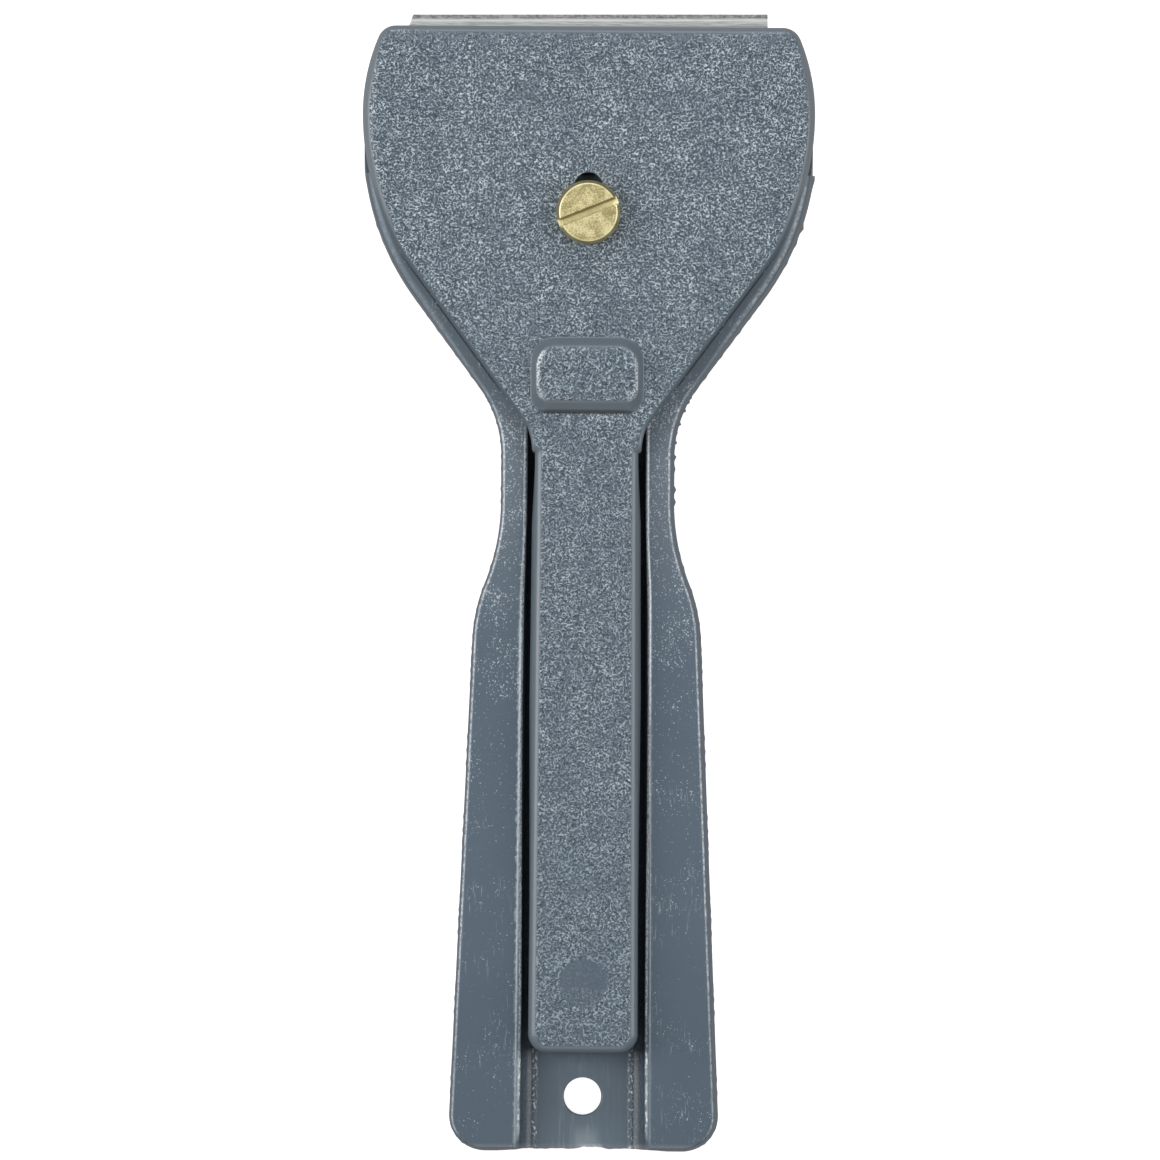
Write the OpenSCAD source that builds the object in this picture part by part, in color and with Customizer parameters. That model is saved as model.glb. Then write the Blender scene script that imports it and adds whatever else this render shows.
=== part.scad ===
// Razor blade scraper: a moulded handle carries a razor blade on two pins, and a sliding guard with
// a long tongue covers the blade. One slotted brass screw, threaded into a captive nut, clamps the
// guard wherever it is set. Y points from the tail to the blade and Z from the back to the guard.
// The model lies on its back, with the origin under the middle of its box.

/* [Handle] */
// Length of the handle moulding, from its front edge to its tail
handle_len = 123.7; // [115:0.1:140]
// Height of the rails and of the head
handle_t = 5.5; // [5:0.1:8]
// Thickness of the channel floor
floor_t = 1.8; // [1.2:0.1:2.4]
// Widest width of the head
head_w = 51.1; // [46:0.1:60]
// Distance from the front edge to the widest line of the head
head_widest = 9.9; // [7:0.1:14]
// Radius of the two front corners
front_corner_r = 2.2; // [1:0.1:4]
// Radius of the head's sides ahead of the widest line
head_side_r = 22; // [18:0.5:45]
// Radius of the head's sides behind the widest line
head_fan_r = 30; // [24:0.5:34]
// Slope of the fan's straight edges, in degrees from the long axis
fan_angle = 36.5; // [32:0.5:42]
// Width of the neck
neck_w = 19.4; // [18:0.1:23]
// Radius between the fan and the neck
neck_fillet_r = 13; // [8:0.1:16]
// Length of the neck's parallel stretch
neck_len = 5.1; // [3:0.1:12]
// Width of the grip just behind its shoulder
grip_w = 25.8; // [24:0.1:32]
// Radius of the hollow curve at the shoulder
shoulder_hollow_r = 25; // [15:0.5:35]
// Radius of the rounded curve at the shoulder
shoulder_round_r = 19.4; // [10:0.1:30]
// Flare of each side of the grip towards the tail, in degrees
grip_flare = 2.5; // [0:0.1:4]
// Radius of the two tail corners
tail_corner_r = 4; // [2:0.1:6]
// Rounding of the handle's outer top edge
handle_edge_r = 0.5; // [0.3:0.05:0.8]
// Draft of the handle's outer sides, as an inset at the top
handle_draft = 0.3; // [0.1:0.05:0.5]
// Chamfer of the handle's outer bottom edge
handle_foot_c = 0.4; // [0.2:0.05:0.8]
// Chamfer along the foot of the channel's sides
channel_foot_c = 1.6; // [0.6:0.1:2]
// Depth of the blade's platform below the top of the head
platform_drop = 1; // [0.6:0.1:1.4]
// Width that the platform's sides are cut to
platform_w = 50.5; // [45:0.1:60]
// Thickness of the platform's front edge above the ramp under it
front_lip_t = 1.4; // [1:0.1:2]
// Length of the ramp under the head
front_ramp_len = 6; // [4:0.1:8]

/* [Coring under the handle] */
// Thickness of the outer walls
wall_t = 1.8; // [1.4:0.1:2.4]
// Thickness of the walls beside the channel
channel_wall_t = 1.5; // [1.2:0.1:2]
// Thickness of the skin over the hollows
skin_t = 1.8; // [1.4:0.1:2.2]
// Thickness of the ribs
rib_t = 1.2; // [0.8:0.1:1.8]
// Number of hollows along each rail
rail_cells = 4; // [2:1:6]
// Solid length at the tail, behind the last hollow
tail_solid = 4.5; // [4:0.1:8]

/* [Hanging hole] */
// Diameter of the hanging hole
hang_hole_d = 4.2; // [3:0.1:5]
// Distance from the tail to the hanging hole's centre
hang_hole_set = 6.2; // [4.5:0.1:6.6]

/* [Guard] */
// Thickness of the guard's plate
guard_t = 2.6; // [2:0.1:4]
// Rounding of the guard's top edge
guard_edge_r = 0.9; // [0.4:0.05:1.2]
// Inset of the guard's outline from the head's outline
guard_inset = 0.1; // [0:0.05:0.5]
// Distance that the outline which the guard is drawn in from stands ahead of the head, as photographed
guard_rest = 3; // [2:0.1:3.5]
// Travel back from there, to where the guard is flush with the head
travel_back = 2.9; // [1:0.1:3.5]
// Travel forward from there, to where the guard covers the edge
travel_forward = 2; // [0.5:0.1:2.4]
// Width of the tongue's root where the fan's straight edges end
root_w = 13.5; // [13:0.1:15]
// Width of the root at its step
root_step_w = 12.3; // [12.2:0.1:12.8]
// Length of the root
root_len = 2.7; // [1.5:0.1:4]
// Slope of the step from the root to the tongue, as a run along
root_step_run = 0.3; // [0.1:0.05:0.8]
// Width of the tongue at the root
tongue_w = 11.6; // [10:0.1:12]
// Width of the tongue at its tail end
tongue_tail_w = 12.2; // [10:0.1:13]
// Length of the guard, from its front edge to the tongue's end
guard_len = 115.5; // [105:0.1:117]
// Radius of the tongue's tail corners
tongue_corner_r = 2.1; // [1:0.1:4]
// Gap between the tongue and the rails
tongue_gap = 1.05; // [0.4:0.05:1.4]
// Wall of the tongue around its hollow underside
tongue_wall_t = 1.6; // [1.2:0.1:2.2]

/* [Thumb pad] */
// Width of the thumb pad
pad_w = 12.7; // [10:0.1:16]
// Length of the thumb pad
pad_len = 8.3; // [6:0.1:12]
// Height of the thumb pad
pad_h = 1.3; // [0.6:0.1:2.5]
// Distance from the guard's front edge to the pad
pad_set_back = 35; // [28:0.1:36]
// Radius of the pad's corners
pad_corner_r = 1.9; // [1.3:0.1:3]
// Slope of the pad's sides, as a run across
pad_side_run = 0.65; // [0.4:0.05:1.2]
// Slope of the pad's ends, as a run along
pad_end_run = 1.05; // [0.4:0.05:1.5]
// Bevel of the pad's top edge, in the slope
pad_edge_c = 0.3; // [0.1:0.05:0.4]

/* [Blade] */
// Width of the blade along its cutting edge
blade_w = 40.5; // [34:0.1:43]
// Depth of the blade, from its edge to its back
blade_d = 17.8; // [16:0.1:19]
// Thickness of the blade
blade_t = 0.3; // [0.2:0.05:0.6]
// Reach of the cutting edge ahead of the handle
blade_reach = 4.3; // [3:0.1:6]
// Depth of the fine facet at the cutting edge
edge_facet = 0.45; // [0.2:0.05:0.8]
// Thickness of the blade where the fine facet begins
edge_facet_t = 0.15; // [0.04:0.01:0.18]
// Depth of the ground bevel, with the fine facet
ground_bevel = 1.3; // [0.9:0.05:2]
// Run of the clipped corner along the cutting edge
clip_run = 0.6; // [0.2:0.05:2]
// Length of the clipped corner along the blade's end
clip_len = 1.5; // [0.5:0.1:4]
// Distance between the two locating pins
pin_span = 26; // [18:0.1:30]
// Diameter of the locating pins
pin_d = 2.9; // [2:0.1:4]
// Height of the locating pins above the blade
pin_stand = 0.8; // [0.4:0.1:1]

/* [Clamp screw and nut] */
// Distance from the handle's front edge to the screw's axis
screw_set_back = 18; // [17.4:0.1:20]
// Nominal diameter of the screw's thread
screw_d = 3; // [2.5:0.1:4]
// Length of the screw under its head
screw_len = 8; // [7.4:0.1:8.1]
// Diameter of the screw's head
screw_head_d = 7.2; // [6:0.1:8.5]
// Height of the screw's head
screw_head_h = 2.2; // [1.6:0.1:3]
// Edge rounding of the screw's head
screw_head_edge = 0.3; // [0.1:0.05:0.5]
// Chamfer of the screw's tip
screw_tip_c = 0.35; // [0.2:0.05:0.5]
// Width of the driver slot
driver_slot_w = 1; // [0.8:0.05:1.2]
// Depth of the driver slot
driver_slot_depth = 1; // [0.6:0.05:1.2]
// Angle of the driver slot from the width of the head
driver_slot_angle = 24; // [0:1:90]
// Width of the nut across its flats
nut_af = 5.5; // [5:0.1:7]
// Thickness of the nut
nut_t = 2.4; // [1.6:0.1:2.6]
// Depth that the nut lies below the handle's back
nut_recess = 0.6; // [0.4:0.1:1]
// Side of the square boss around the nut
boss_w = 12; // [10:0.1:16]

/* [Fits] */
// Running gap between the guard and what it slides on or under
slide_gap = 0.05; // [0.02:0.01:0.1]
// Gap that is left behind the guard's block when the guard is right back
block_gap = 0.3; // [0.1:0.05:0.6]
// Height of the tongue's underside above the chamfers at the foot of the channel
tongue_foot_gap = 0.1; // [0.05:0.05:0.4]
// Radial gap round the screw in its slot and hole
screw_gap = 0.1; // [0.05:0.05:0.3]
// Radial gap of the thread in the nut
thread_gap = 0.05; // [0.01:0.01:0.1]
// Gap round the nut, the blade and its pins in their seats
seat_gap = 0.15; // [0.05:0.05:0.3]

/* [Hidden] */
$fn = 64;
// Overshoot of a cut past the face that it opens
past = 1;
// Largest turn of one step round an outline's arc, in degrees
arc_step = 6;

plastic_blue_grey = [0.40, 0.46, 0.51];
guard_blue_grey = [0.45, 0.51, 0.56];
steel_grey = [0.72, 0.72, 0.72];
brass_yellow = [0.75, 0.67, 0.42];

// Places along the long axis, with the box of the photographed pose centred on the origin
overall_len = handle_len + blade_reach;
y_tail = -overall_len / 2;
y_front = y_tail + handle_len;
y_edge = y_front + blade_reach;
y_platform = y_edge - blade_d - seat_gap;
y_guard_front = y_front + guard_rest;
y_guard_tail = y_guard_front - guard_len;
y_screw = y_front - screw_set_back;
y_hang = y_tail + hang_hole_set;
y_pins = y_edge - blade_d / 2;

// Levels above the back
z_platform = handle_t - platform_drop;
z_blade_top = z_platform + blade_t;
z_guard = handle_t + slide_gap;
z_guard_top = z_guard + guard_t;
z_head = z_guard_top + slide_gap;
z_head_top = z_head + screw_head_h;
z_nut = nut_recess;
z_nut_top = z_nut + nut_t;

// Points of an arc round c, without its last point where another arc takes over there
function arc(c, r, from, to, last = 1) =
    let (n = max(2, ceil(abs(to - from) / arc_step)))
    [for (i = [0 : n - 1 + last]) c + r * dir(from + (to - from) * i / n)];
function dir(a) = [cos(a), sin(a)];
// A right half outline, front to tail, closed by its mirror image
function mirrored(half) =
    concat(half, [for (i = [len(half) - 1 : -1 : 0]) [-half[i].x, half[i].y]]);

// Head outline, which the handle and the guard share: its arcs' centres for a front edge at y
function side_c(y) = [head_w / 2 - head_side_r, y - head_widest];
function fan_c(y) = [head_w / 2 - head_fan_r, y - head_widest];
function corner_c(y) = [
    side_c(y).x + sqrt(pow(head_side_r - front_corner_r, 2) - pow(head_widest - front_corner_r, 2)),
    y - front_corner_r
];
function corner_a(y) = atan2(corner_c(y).y - side_c(y).y, corner_c(y).x - side_c(y).x);
function head_half(y, inset) = concat(
    arc(corner_c(y), front_corner_r - inset, 90, corner_a(y), 0),
    arc(side_c(y), head_side_r - inset, corner_a(y), 0, 0),
    arc(fan_c(y), head_fan_r - inset, 0, -fan_angle)
);
function fan_end(y, inset) = fan_c(y) + (head_fan_r - inset) * dir(-fan_angle);

// Handle outline: the head, the neck, the shoulder and the flared grip
neck_x = neck_w / 2 + neck_fillet_r;
neck_c = [
    neck_x,
    fan_end(y_front, 0).y
        + ((neck_x - fan_end(y_front, 0).x) * cos(fan_angle) - neck_fillet_r) / sin(fan_angle)
];
hollow_c = [neck_w / 2 + shoulder_hollow_r, neck_c.y - neck_len];
shoulder_a = acos(
    (shoulder_hollow_r + shoulder_round_r * cos(grip_flare) - (grip_w - neck_w) / 2)
        / (shoulder_hollow_r + shoulder_round_r)
);
round_c = hollow_c - (shoulder_hollow_r + shoulder_round_r) * dir(shoulder_a);
grip_start = round_c + shoulder_round_r * dir(grip_flare);
tail_c = [
    grip_start.x
        - (tail_corner_r + (y_tail + tail_corner_r - grip_start.y) * sin(grip_flare)) / cos(grip_flare),
    y_tail + tail_corner_r
];
function handle_half(inset) = concat(
    head_half(y_front, inset),
    arc(neck_c, neck_fillet_r + inset, 180 - fan_angle, 180),
    arc(hollow_c, shoulder_hollow_r + inset, 180, 180 + shoulder_a, 0),
    arc(round_c, shoulder_round_r - inset, shoulder_a, grip_flare),
    arc(tail_c, tail_corner_r - inset, grip_flare, -90)
);

// Guard outline: the head, inset, with its straight edges run on to the tongue's root
function root_y(inset) =
    fan_end(y_guard_front, inset).y
        - (fan_end(y_guard_front, inset).x - root_w / 2 + inset - guard_inset) / tan(fan_angle);
y_root = root_y(guard_inset);
y_step = y_root - root_len;
tongue_slope = (tongue_tail_w - tongue_w) / 2 / (y_step - y_guard_tail);
function tongue_half(y) = tongue_w / 2 + (y_step - y) * tongue_slope;
tongue_end_c = [tongue_tail_w / 2 - tongue_corner_r, y_guard_tail + tongue_corner_r];
function guard_half(inset) = concat(
    head_half(y_guard_front, guard_inset + inset),
    [
        [root_w / 2 - inset, root_y(guard_inset + inset)],
        [root_step_w / 2 - inset, y_step + inset],
        [tongue_w / 2 - inset, y_step - root_step_run + inset]
    ],
    arc(tongue_end_c, tongue_corner_r - inset, 0, -90)
);

// The block under the guard's front holds the blade down, and stays clear of the platform's step
y_block = y_platform + travel_back + block_gap;
z_block = z_blade_top + slide_gap;
// The bar under the tongue, which runs in the channel, starts under the root
y_bar = y_root;
z_bar = floor_t + channel_foot_c + tongue_foot_gap;
// The channel leaves room for the bar's travel ahead of it
y_channel = y_bar + travel_forward + tongue_gap;
function channel_half(y) = tongue_half(y) + tongue_gap;

// Hollows under the handle: rows [rear, front, inner half width], in the head and in the rails
head_hollow_front = y_front - front_ramp_len - wall_t;
boss_front = y_screw + boss_w / 2;
boss_rear = y_screw - boss_w / 2;
head_hollow_rear = y_channel + wall_t;
rail_hollow_front = hollow_c.y;
rail_hollow_rear = y_tail + tail_solid;
rail_pitch = (rail_hollow_front - rail_hollow_rear + rib_t) / rail_cells;
head_hollows = [
    [boss_front, head_hollow_front, rib_t / 2],
    [boss_rear, boss_front - rib_t, boss_w / 2],
    [head_hollow_rear, boss_rear - rib_t, rib_t / 2]
];
z_head_hollow = z_platform - skin_t;
z_rail_hollow = handle_t - skin_t;

// A solid through mirrored rings of points that all have the same count, each ring at its level
module loft(rings, levels) {
    n = len(rings[0]);
    points = [
        for (k = [0 : len(rings) - 1])
        for (p = rings[k]) [p.x, p.y, levels[k]]
    ];
    sides = [
        for (k = [0 : len(rings) - 2])
        for (i = [0 : n - 1]) let (j = (i + 1) % n)
        [k * n + i, k * n + j, (k + 1) * n + j, (k + 1) * n + i]
    ];
    top = (len(rings) - 1) * n;
    bottom_strips = [for (i = [0 : n / 2 - 2]) [n - 1 - i, n - 2 - i, i + 1, i]];
    top_strips = [for (i = [0 : n / 2 - 2]) [top + i, top + i + 1, top + n - 2 - i, top + n - 1 - i]];
    polyhedron(points, concat(sides, bottom_strips, top_strips));
}

// A slot along Y from one axis to the other, with round ends
module round_slot(r, y_from, y_to, z, h) {
    for (y = [y_from, y_to]) translate([0, y, z]) cylinder(r = r, h = h);
    translate([-r, y_from, z]) cube([2 * r, y_to - y_from, h]);
}

// Handle

module handle_block() {
    r = handle_edge_r;
    d = handle_draft;
    loft(
        [for (i = [handle_foot_c, 0, d, d + r * (1 - cos(45)), d + r]) mirrored(handle_half(i))],
        [0, handle_foot_c, handle_t - r, handle_t - r * (1 - sin(45)), handle_t]
    );
}

// Cross section of the channel at y, rounded off at the floor by a chamfer
function channel_section(y) = let (x = channel_half(y), c = channel_foot_c)
    [[-x, handle_t + past], [-x, floor_t + c], [-x + c, floor_t],
     [x - c, floor_t], [x, floor_t + c], [x, handle_t + past]];

module channel_cut() {
    front = channel_section(y_channel);
    rear = channel_section(y_tail - past);
    n = len(front);
    points = concat(
        [for (p = front) [p.x, y_channel, p.y]],
        [for (p = rear) [p.x, y_tail - past, p.y]]
    );
    sides = [for (i = [0 : n - 1]) let (j = (i + 1) % n) [i, n + i, n + j, j]];
    ends = [[for (i = [0 : n - 1]) i], [for (i = [n - 1 : -1 : 0]) n + i]];
    polyhedron(points, concat(sides, ends));
}

// Hollows in the head, one each side of the middle rib or of the nut's boss
module head_hollow_cells() {
    for (cell = head_hollows) {
        y = cell[0] + rib_t / 2;
        length = cell[1] - cell[0] - rib_t / 2;
        for (x = [-head_w / 2, cell[2]])
            translate([x, y, -past]) cube([head_w / 2 - cell[2], length, z_head_hollow + past]);
    }
}

// Hollows in the rails, between the channel's walls and the outer walls
module rail_hollow_cells() {
    for (i = [0 : rail_cells - 1]) {
        front = rail_hollow_front - i * rail_pitch;
        rear = front - rail_pitch + rib_t;
        for (side = [-1, 1])
            translate([0, 0, -past]) linear_extrude(z_rail_hollow + past) polygon([
                [side * (channel_half(front) + channel_wall_t), front],
                [side * head_w / 2, front],
                [side * head_w / 2, rear],
                [side * (channel_half(rear) + channel_wall_t), rear]
            ]);
    }
}

module hollows() {
    intersection() {
        translate([0, 0, -2 * past])
            linear_extrude(handle_t) polygon(mirrored(handle_half(wall_t)));
        union() {
            head_hollow_cells();
            rail_hollow_cells();
        }
    }
}

// The blade's platform: the head's front, lowered and with its sides cut straight
module platform_cut() {
    length = y_front + past - y_platform;
    translate([-head_w / 2 - past, y_platform, z_platform])
        cube([head_w + 2 * past, length, platform_drop + past]);
    for (x = [-platform_w / 2 - past - head_w, platform_w / 2])
        translate([x, y_platform, -past]) cube([head_w + past, length, handle_t + 2 * past]);
}

// The wedge cut away under the front edge, so that the blade can lie low on the work
module front_ramp_cut() {
    rotate([90, 0, 90]) translate([0, 0, -head_w / 2 - past]) linear_extrude(head_w + 2 * past) polygon([
        [y_front - front_ramp_len, -past],
        [y_front - front_ramp_len, 0],
        [y_front, z_platform - front_lip_t],
        [y_front + past, z_platform - front_lip_t],
        [y_front + past, -past]
    ]);
}

module nut_pocket_cut() {
    across_corners = (nut_af + 2 * seat_gap) / cos(30);
    translate([0, y_screw, -past]) cylinder(d = across_corners, h = z_nut_top + past, $fn = 6);
    translate([0, y_screw, 0]) cylinder(r = screw_d / 2 + screw_gap, h = handle_t + past);
}

module handle() {
    color(plastic_blue_grey) {
        difference() {
            handle_block();
            channel_cut();
            hollows();
            platform_cut();
            front_ramp_cut();
            nut_pocket_cut();
            translate([0, y_hang, -past]) cylinder(d = hang_hole_d, h = floor_t + 2 * past);
        }
        for (x = [-pin_span / 2, pin_span / 2])
            translate([x, y_pins, z_platform]) cylinder(d = pin_d, h = blade_t + pin_stand);
    }
}

// Blade

// Section of the blade at its edge, in depth and height: a fine facet, then the ground bevel
module blade_section() {
    middle = blade_t / 2;
    shoulder = edge_facet_t / 2;
    polygon([
        [0, middle],
        [-edge_facet, middle + shoulder],
        [-ground_bevel, blade_t],
        [-blade_d, blade_t],
        [-blade_d, 0],
        [-ground_bevel, 0],
        [-edge_facet, middle - shoulder]
    ]);
}

module blade() {
    half = blade_w / 2;
    color(steel_grey) translate([0, y_edge, z_platform]) difference() {
        rotate([90, 0, 90]) translate([0, 0, -half]) linear_extrude(blade_w) blade_section();
        translate([0, 0, -past]) linear_extrude(blade_t + 2 * past) polygon([
            [-half + clip_run, past],
            [-half + clip_run, 0],
            [-half, -clip_len],
            [-half - past, -clip_len],
            [-half - past, past]
        ]);
        for (x = [-pin_span / 2, pin_span / 2])
            translate([x, y_pins - y_edge, -past])
                cylinder(r = pin_d / 2 + seat_gap, h = blade_t + 2 * past);
    }
}

// Guard

module guard_plate() {
    r = guard_edge_r;
    loft(
        [for (i = [0, 0, r * (1 - cos(45)), r]) mirrored(guard_half(i))],
        [z_guard, z_guard_top - r, z_guard_top - r * (1 - sin(45)), z_guard_top]
    );
}

module guard_block() {
    intersection() {
        translate([0, 0, z_block]) linear_extrude(z_guard - z_block) polygon(mirrored(guard_half(0)));
        translate([-head_w / 2, y_block, z_block])
            cube([head_w, y_guard_front - y_block, z_guard - z_block]);
    }
}

// Outline of the bar under the tongue, drawn in all round by inset
module bar_outline(inset) {
    polygon(mirrored(concat(
        [[tongue_half(y_bar) - inset, y_bar - inset]],
        arc(tongue_end_c, tongue_corner_r - inset, 0, -90)
    )));
}

module thumb_pad() {
    w = pad_w / 2;
    r = pad_corner_r;
    y_pad = y_guard_front - pad_set_back - pad_len / 2;
    run = [pad_side_run, pad_end_run];
    edge = [pad_edge_c, pad_edge_c];
    translate([0, y_pad, z_guard_top]) loft(
        [for (in = [[0, 0], [0, 0], run - edge, run]) rounded_rectangle(w - in.x, pad_len / 2 - in.y, r)],
        [-past, 0, pad_h - pad_edge_c, pad_h]
    );
}
function rounded_rectangle(half_w, half_len, r) = mirrored(concat(
    arc([half_w - r, half_len - r], r, 90, 0),
    arc([half_w - r, r - half_len], r, 0, -90)
));

module guard() {
    color(guard_blue_grey) difference() {
        union() {
            guard_plate();
            guard_block();
            translate([0, 0, z_bar]) linear_extrude(z_guard - z_bar) bar_outline(0);
            thumb_pad();
        }
        translate([0, 0, z_bar - past])
            linear_extrude(z_guard - z_bar + past) bar_outline(tongue_wall_t);
        round_slot(
            screw_d / 2 + screw_gap, y_screw - travel_forward, y_screw + travel_back,
            z_guard - past, guard_t + 2 * past
        );
        for (x = [-pin_span / 2, pin_span / 2]) translate([x, 0, 0]) round_slot(
            pin_d / 2 + seat_gap, y_pins - travel_forward, y_pins + travel_back,
            z_block - past, z_blade_top + pin_stand + seat_gap - z_block + past
        );
    }
}

// Clamp screw and nut

module clamp_screw() {
    r = screw_head_d / 2;
    e = screw_head_edge;
    color(brass_yellow) translate([0, y_screw, z_head]) difference() {
        rotate_extrude() polygon([
            [0, screw_head_h],
            [r - e, screw_head_h],
            [r - e * (1 - cos(45)), screw_head_h - e * (1 - sin(45))],
            [r, screw_head_h - e],
            [r, 0],
            [screw_d / 2, 0],
            [screw_d / 2, screw_tip_c - screw_len],
            [screw_d / 2 - screw_tip_c, -screw_len],
            [0, -screw_len]
        ]);
        rotate(driver_slot_angle) translate([-r - past, -driver_slot_w / 2, screw_head_h - driver_slot_depth])
            cube([2 * (r + past), driver_slot_w, driver_slot_depth + past]);
    }
}

module clamp_nut() {
    across_corners = nut_af / cos(30);
    color(brass_yellow) translate([0, y_screw, z_nut]) difference() {
        cylinder(d = across_corners, h = nut_t, $fn = 6);
        translate([0, 0, -past]) cylinder(r = screw_d / 2 + thread_gap, h = nut_t + 2 * past);
    }
}

handle();
blade();
guard();
clamp_screw();
clamp_nut();
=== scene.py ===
# %% [markdown]
# # A razor blade scraper, seen from straight above
#
# The scraper is two plastic mouldings, a strip of steel and a brass screw with its nut. The construction
# model already holds their sizes and the way they move. This lesson loads it as a fixed frame and then
# builds a finer surface for each piece in the same place, with finishes made only of shader nodes.

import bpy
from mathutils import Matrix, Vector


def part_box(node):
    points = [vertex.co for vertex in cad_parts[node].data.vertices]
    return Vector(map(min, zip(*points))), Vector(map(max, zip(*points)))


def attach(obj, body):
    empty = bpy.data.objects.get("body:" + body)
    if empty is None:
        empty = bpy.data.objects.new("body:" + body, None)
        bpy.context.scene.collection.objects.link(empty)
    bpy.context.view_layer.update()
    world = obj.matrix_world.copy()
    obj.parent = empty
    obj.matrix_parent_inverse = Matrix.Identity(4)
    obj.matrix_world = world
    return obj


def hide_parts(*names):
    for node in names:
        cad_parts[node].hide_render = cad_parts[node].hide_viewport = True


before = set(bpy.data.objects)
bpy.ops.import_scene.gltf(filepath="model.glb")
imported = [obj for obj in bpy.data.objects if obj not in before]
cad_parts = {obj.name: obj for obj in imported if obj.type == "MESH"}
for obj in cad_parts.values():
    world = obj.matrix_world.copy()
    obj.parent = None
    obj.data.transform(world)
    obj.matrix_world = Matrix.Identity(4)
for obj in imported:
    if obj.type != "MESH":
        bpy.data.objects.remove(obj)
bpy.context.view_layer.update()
print("frame nodes:", ", ".join(sorted(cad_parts)))

# %% [markdown]
# ## Main places
#
# Blender works in metres, but a tool of this size is easier to think of in millimetres, so every length of
# the scraper is in millimetres and is turned into metres only when a mesh is made. The main places are
# read from the frame's boxes, and only radii and other small sizes are written out where they are needed.

# %% Read the main places from the frame
import bmesh
import bpy
import numpy as np

MM = 0.001
rest_gap = 0.05
blade_step = 1.0
blade_play = 0.15
plate_t = 2.6


def corners(node):
    """Lowest and highest corner of a node of the frame, in millimetres."""
    return [np.array(corner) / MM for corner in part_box(node)]


handle_low, handle_high = corners("handle")
guard_low, guard_high = corners("guard")
blade_low, blade_high = corners("blade")
screw_low, screw_high = corners("clamp_screw")
nut_low, nut_high = corners("clamp_nut")
tail_y = handle_low[1]
edge_y = blade_high[1]
screw_y = (screw_low[1] + screw_high[1]) / 2
platform_z = blade_low[2]
platform_y = blade_low[1] - blade_play
handle_top = platform_z + blade_step
guard_bottom = handle_top + rest_gap
guard_top = guard_bottom + plate_t
print(f"tail at {tail_y:.1f}, edge at {edge_y:.1f}, screw at {screw_y:.1f} mm")

# %% [markdown]
# ## Outlines
#
# Both mouldings are flat shapes with rounded edges, so each starts as an outline of arcs and straights. A
# rounded edge is the same outline drawn in a little further at each level. That is easy when an outline is a
# formula: drawing it in by some inset only takes the inset off each outward arc's radius. The functions
# below work on a whole stack of insets at once, and the first axis of their arrays counts the rings.

# %% Arcs and straights for a stack of rings
def points(*parts):
    """Points whose coordinates are the given arrays, stretched to one shape."""
    return np.stack(np.broadcast_arrays(*parts), axis=-1)


def arc(centre, radii, start, stop, last=True, step=1.2):
    """Points centre + radius * (cos a, sin a), one row a radius, for a from start to stop in degrees.

    The last point is left out where the next stretch begins with it.
    """
    count = max(4, int(np.ceil(abs(stop - start) / step)) + 1)
    turn = np.radians(np.linspace(start, stop, count))
    rows = np.asarray(centre) + np.atleast_1d(radii)[:, None, None] * points(np.cos(turn), np.sin(turn))
    return rows if last else rows[:, :-1]


def between(start, stop, spacing=0.5):
    """Points that divide the straight from each start to its stop evenly, without its two ends."""
    start, stop = np.atleast_2d(start), np.atleast_2d(stop)
    count = int(np.ceil(np.linalg.norm(stop[0] - start[0]) / spacing))
    share = np.linspace(0, 1, count + 1)[1:-1, None]
    return start[:, None] * (1 - share) + stop[:, None] * share


def whole(half):
    """The right half of an outline, front to tail, followed by its mirror image from tail to front."""
    return np.concatenate([half, half[:, ::-1] * [-1, 1]], axis=1)


print("a quarter circle:", arc([0, 0], 1.0, 0, 90).shape[1], "points")

# %% [markdown]
# The guard and the head under it share one outline: a small front corner, a gently bulging side up to the
# widest line, and a rounder fan behind it that runs into straight slopes. The guard is the same curve, a
# tenth of a millimetre smaller and three millimetres further forward.

# %% The head's outline
guard_inset = 0.1
head_half_w = guard_high[0] + guard_inset
head_widest = 9.9
front_corner_r = 2.2
head_side_r = 22.0
head_fan_r = 30.0
fan_angle = 36.5


def fan_centre(front):
    """Centre of the fan's arc, level with the widest line behind a front."""
    return np.array([head_half_w - head_fan_r, front - head_widest])


def head_half(front, insets):
    """Right half of the head's outline: a corner arc, a side arc and a fan arc, each touching the next.

    The corner's centre lies at the difference of the two radii from the side's centre, so the arcs touch.
    """
    side = np.array([head_half_w - head_side_r, front - head_widest])
    rise = head_widest - front_corner_r
    reach = np.sqrt((head_side_r - front_corner_r) ** 2 - rise ** 2)
    turn = np.degrees(np.arctan2(rise, reach))
    return np.concatenate([
        arc(side + [reach, rise], front_corner_r - insets, 90, turn, last=False, step=10),
        arc(side, head_side_r - insets, turn, 0, last=False),
        arc(fan_centre(front), head_fan_r - insets, 0, -fan_angle),
    ], axis=1)


print("head outline:", head_half(0.0, np.zeros(1)).shape[1], "points a side")

# %% [markdown]
# ## From rings to solids
#
# A grid of points becomes a solid when its rings are joined by quads all the way round and its two ends are
# closed. The outlines here are their own mirror images, so a flat end is best closed by strips that run
# straight across from each point to its twin. Rings with no such twin get one face with many corners. A ring
# of rings, such as a nut, needs no ends at all.

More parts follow.
